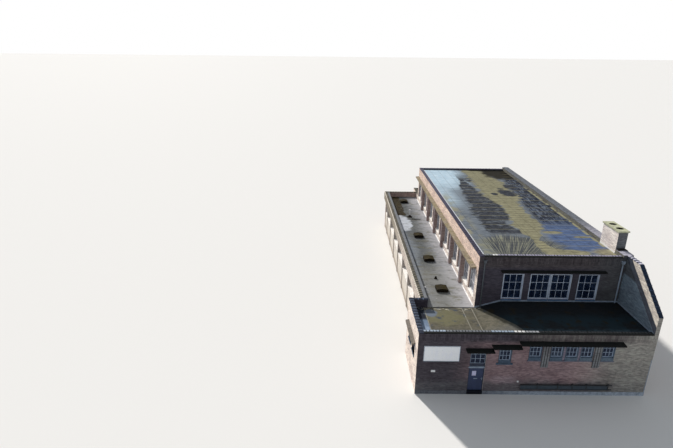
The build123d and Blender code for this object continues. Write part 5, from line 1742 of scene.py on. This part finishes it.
def stage_floor():
    """A wide pale floor under everything."""
    bpy.ops.mesh.primitive_plane_add(size=FLOOR_SIZE, location=(0, 0, 0))
    floor = bpy.context.object
    floor.name = "floor"
    material = bpy.data.materials.new("pale_floor")
    material.use_nodes = True
    shader = material.node_tree.nodes["Principled BSDF"]
    shader.inputs["Base Color"].default_value = FLOOR_COLOUR
    shader.inputs["Roughness"].default_value = 0.95
    shader.inputs["Specular IOR Level"].default_value = 0.1
    floor.data.materials.append(material)


def stage_world():
    """Soft sky light on the object, and plain white where a ray reaches the background."""
    world = bpy.data.worlds.new("soft_sky")
    bpy.context.scene.world = world
    world.use_nodes = True
    nodes = world.node_tree.nodes
    links = world.node_tree.links
    nodes.clear()
    backgrounds = []
    for colour, strength in ((SKY_COLOUR, SKY_STRENGTH), ((1, 1, 1, 1), 1.0)):
        background = nodes.new("ShaderNodeBackground")
        background.inputs["Color"].default_value = colour
        background.inputs["Strength"].default_value = strength
        backgrounds.append(background)
    rays = nodes.new("ShaderNodeLightPath").outputs
    seen = rays["Is Camera Ray"]
    for other in ("Is Glossy Ray", "Is Transmission Ray"):
        either = nodes.new("ShaderNodeMath")
        either.operation = "MAXIMUM"
        links.new(seen, either.inputs[0])
        links.new(rays[other], either.inputs[1])
        seen = either.outputs[0]
    both = nodes.new("ShaderNodeMixShader")
    for socket, source in zip(both.inputs, (seen, backgrounds[0].outputs[0], backgrounds[1].outputs[0])):
        links.new(source, socket)
    output = nodes.new("ShaderNodeOutputWorld")
    links.new(both.outputs[0], output.inputs["Surface"])


def stage_sun():
    """One lamp for the sun, which stands behind the building to the west."""
    lamp = bpy.data.lights.new("sun", "SUN")
    lamp.energy = SUN_STRENGTH
    lamp.color = SUN_COLOUR
    lamp.angle = SUN_SOFTNESS
    made = bpy.data.objects.new("sun", lamp)
    bpy.context.scene.collection.objects.link(made)
    level = Vector((*SUN_BEARING, 0)).normalized() * math.cos(SUN_ELEVATION)
    towards = level + Vector((0, 0, math.sin(SUN_ELEVATION)))
    made.rotation_euler = towards.to_track_quat("Z", "Y").to_euler()


def stage_camera():
    """The camera, where it stood for the photo."""
    camera = bpy.data.cameras.new("camera")
    camera.sensor_fit = "HORIZONTAL"
    camera.sensor_width = SENSOR_WIDTH
    camera.lens = FOCAL_PIXELS / IMAGE_WIDTH * SENSOR_WIDTH
    camera.clip_end = FLOOR_SIZE * 2
    made = bpy.data.objects.new("camera", camera)
    bpy.context.scene.collection.objects.link(made)
    level = Vector((math.sin(CAMERA_YAW), math.cos(CAMERA_YAW), 0))
    side = Vector((math.cos(CAMERA_YAW), -math.sin(CAMERA_YAW), 0))
    up = Vector((0, 0, 1))
    ahead = level * math.cos(CAMERA_PITCH) - up * math.sin(CAMERA_PITCH)
    above = up * math.cos(CAMERA_PITCH) + level * math.sin(CAMERA_PITCH)
    right = side * math.cos(CAMERA_ROLL) + above * math.sin(CAMERA_ROLL)
    top = above * math.cos(CAMERA_ROLL) - side * math.sin(CAMERA_ROLL)
    turn = Matrix((right, top, -ahead)).transposed().to_4x4()
    made.matrix_world = Matrix.Translation(SITE + Vector(CAMERA_PLACE)) @ turn
    bpy.context.scene.camera = made


looks = make_looks()
dress_nodes(looks)
for make in (annexe_coping, wing_coping, hall_copings, raking_coping, rear_coping, annexe_windows,
             hall_end_windows, hall_side_windows, wing_windows, door_details, transom, rooflights, roof_vent,
             flashings, front_edge, rail_panels, wall_fittings, downpipe_heads, flue_pots):
    make(looks)
stage_floor()
stage_world()
stage_sun()
stage_camera()
bpy.context.scene.view_settings.view_transform = "Standard"
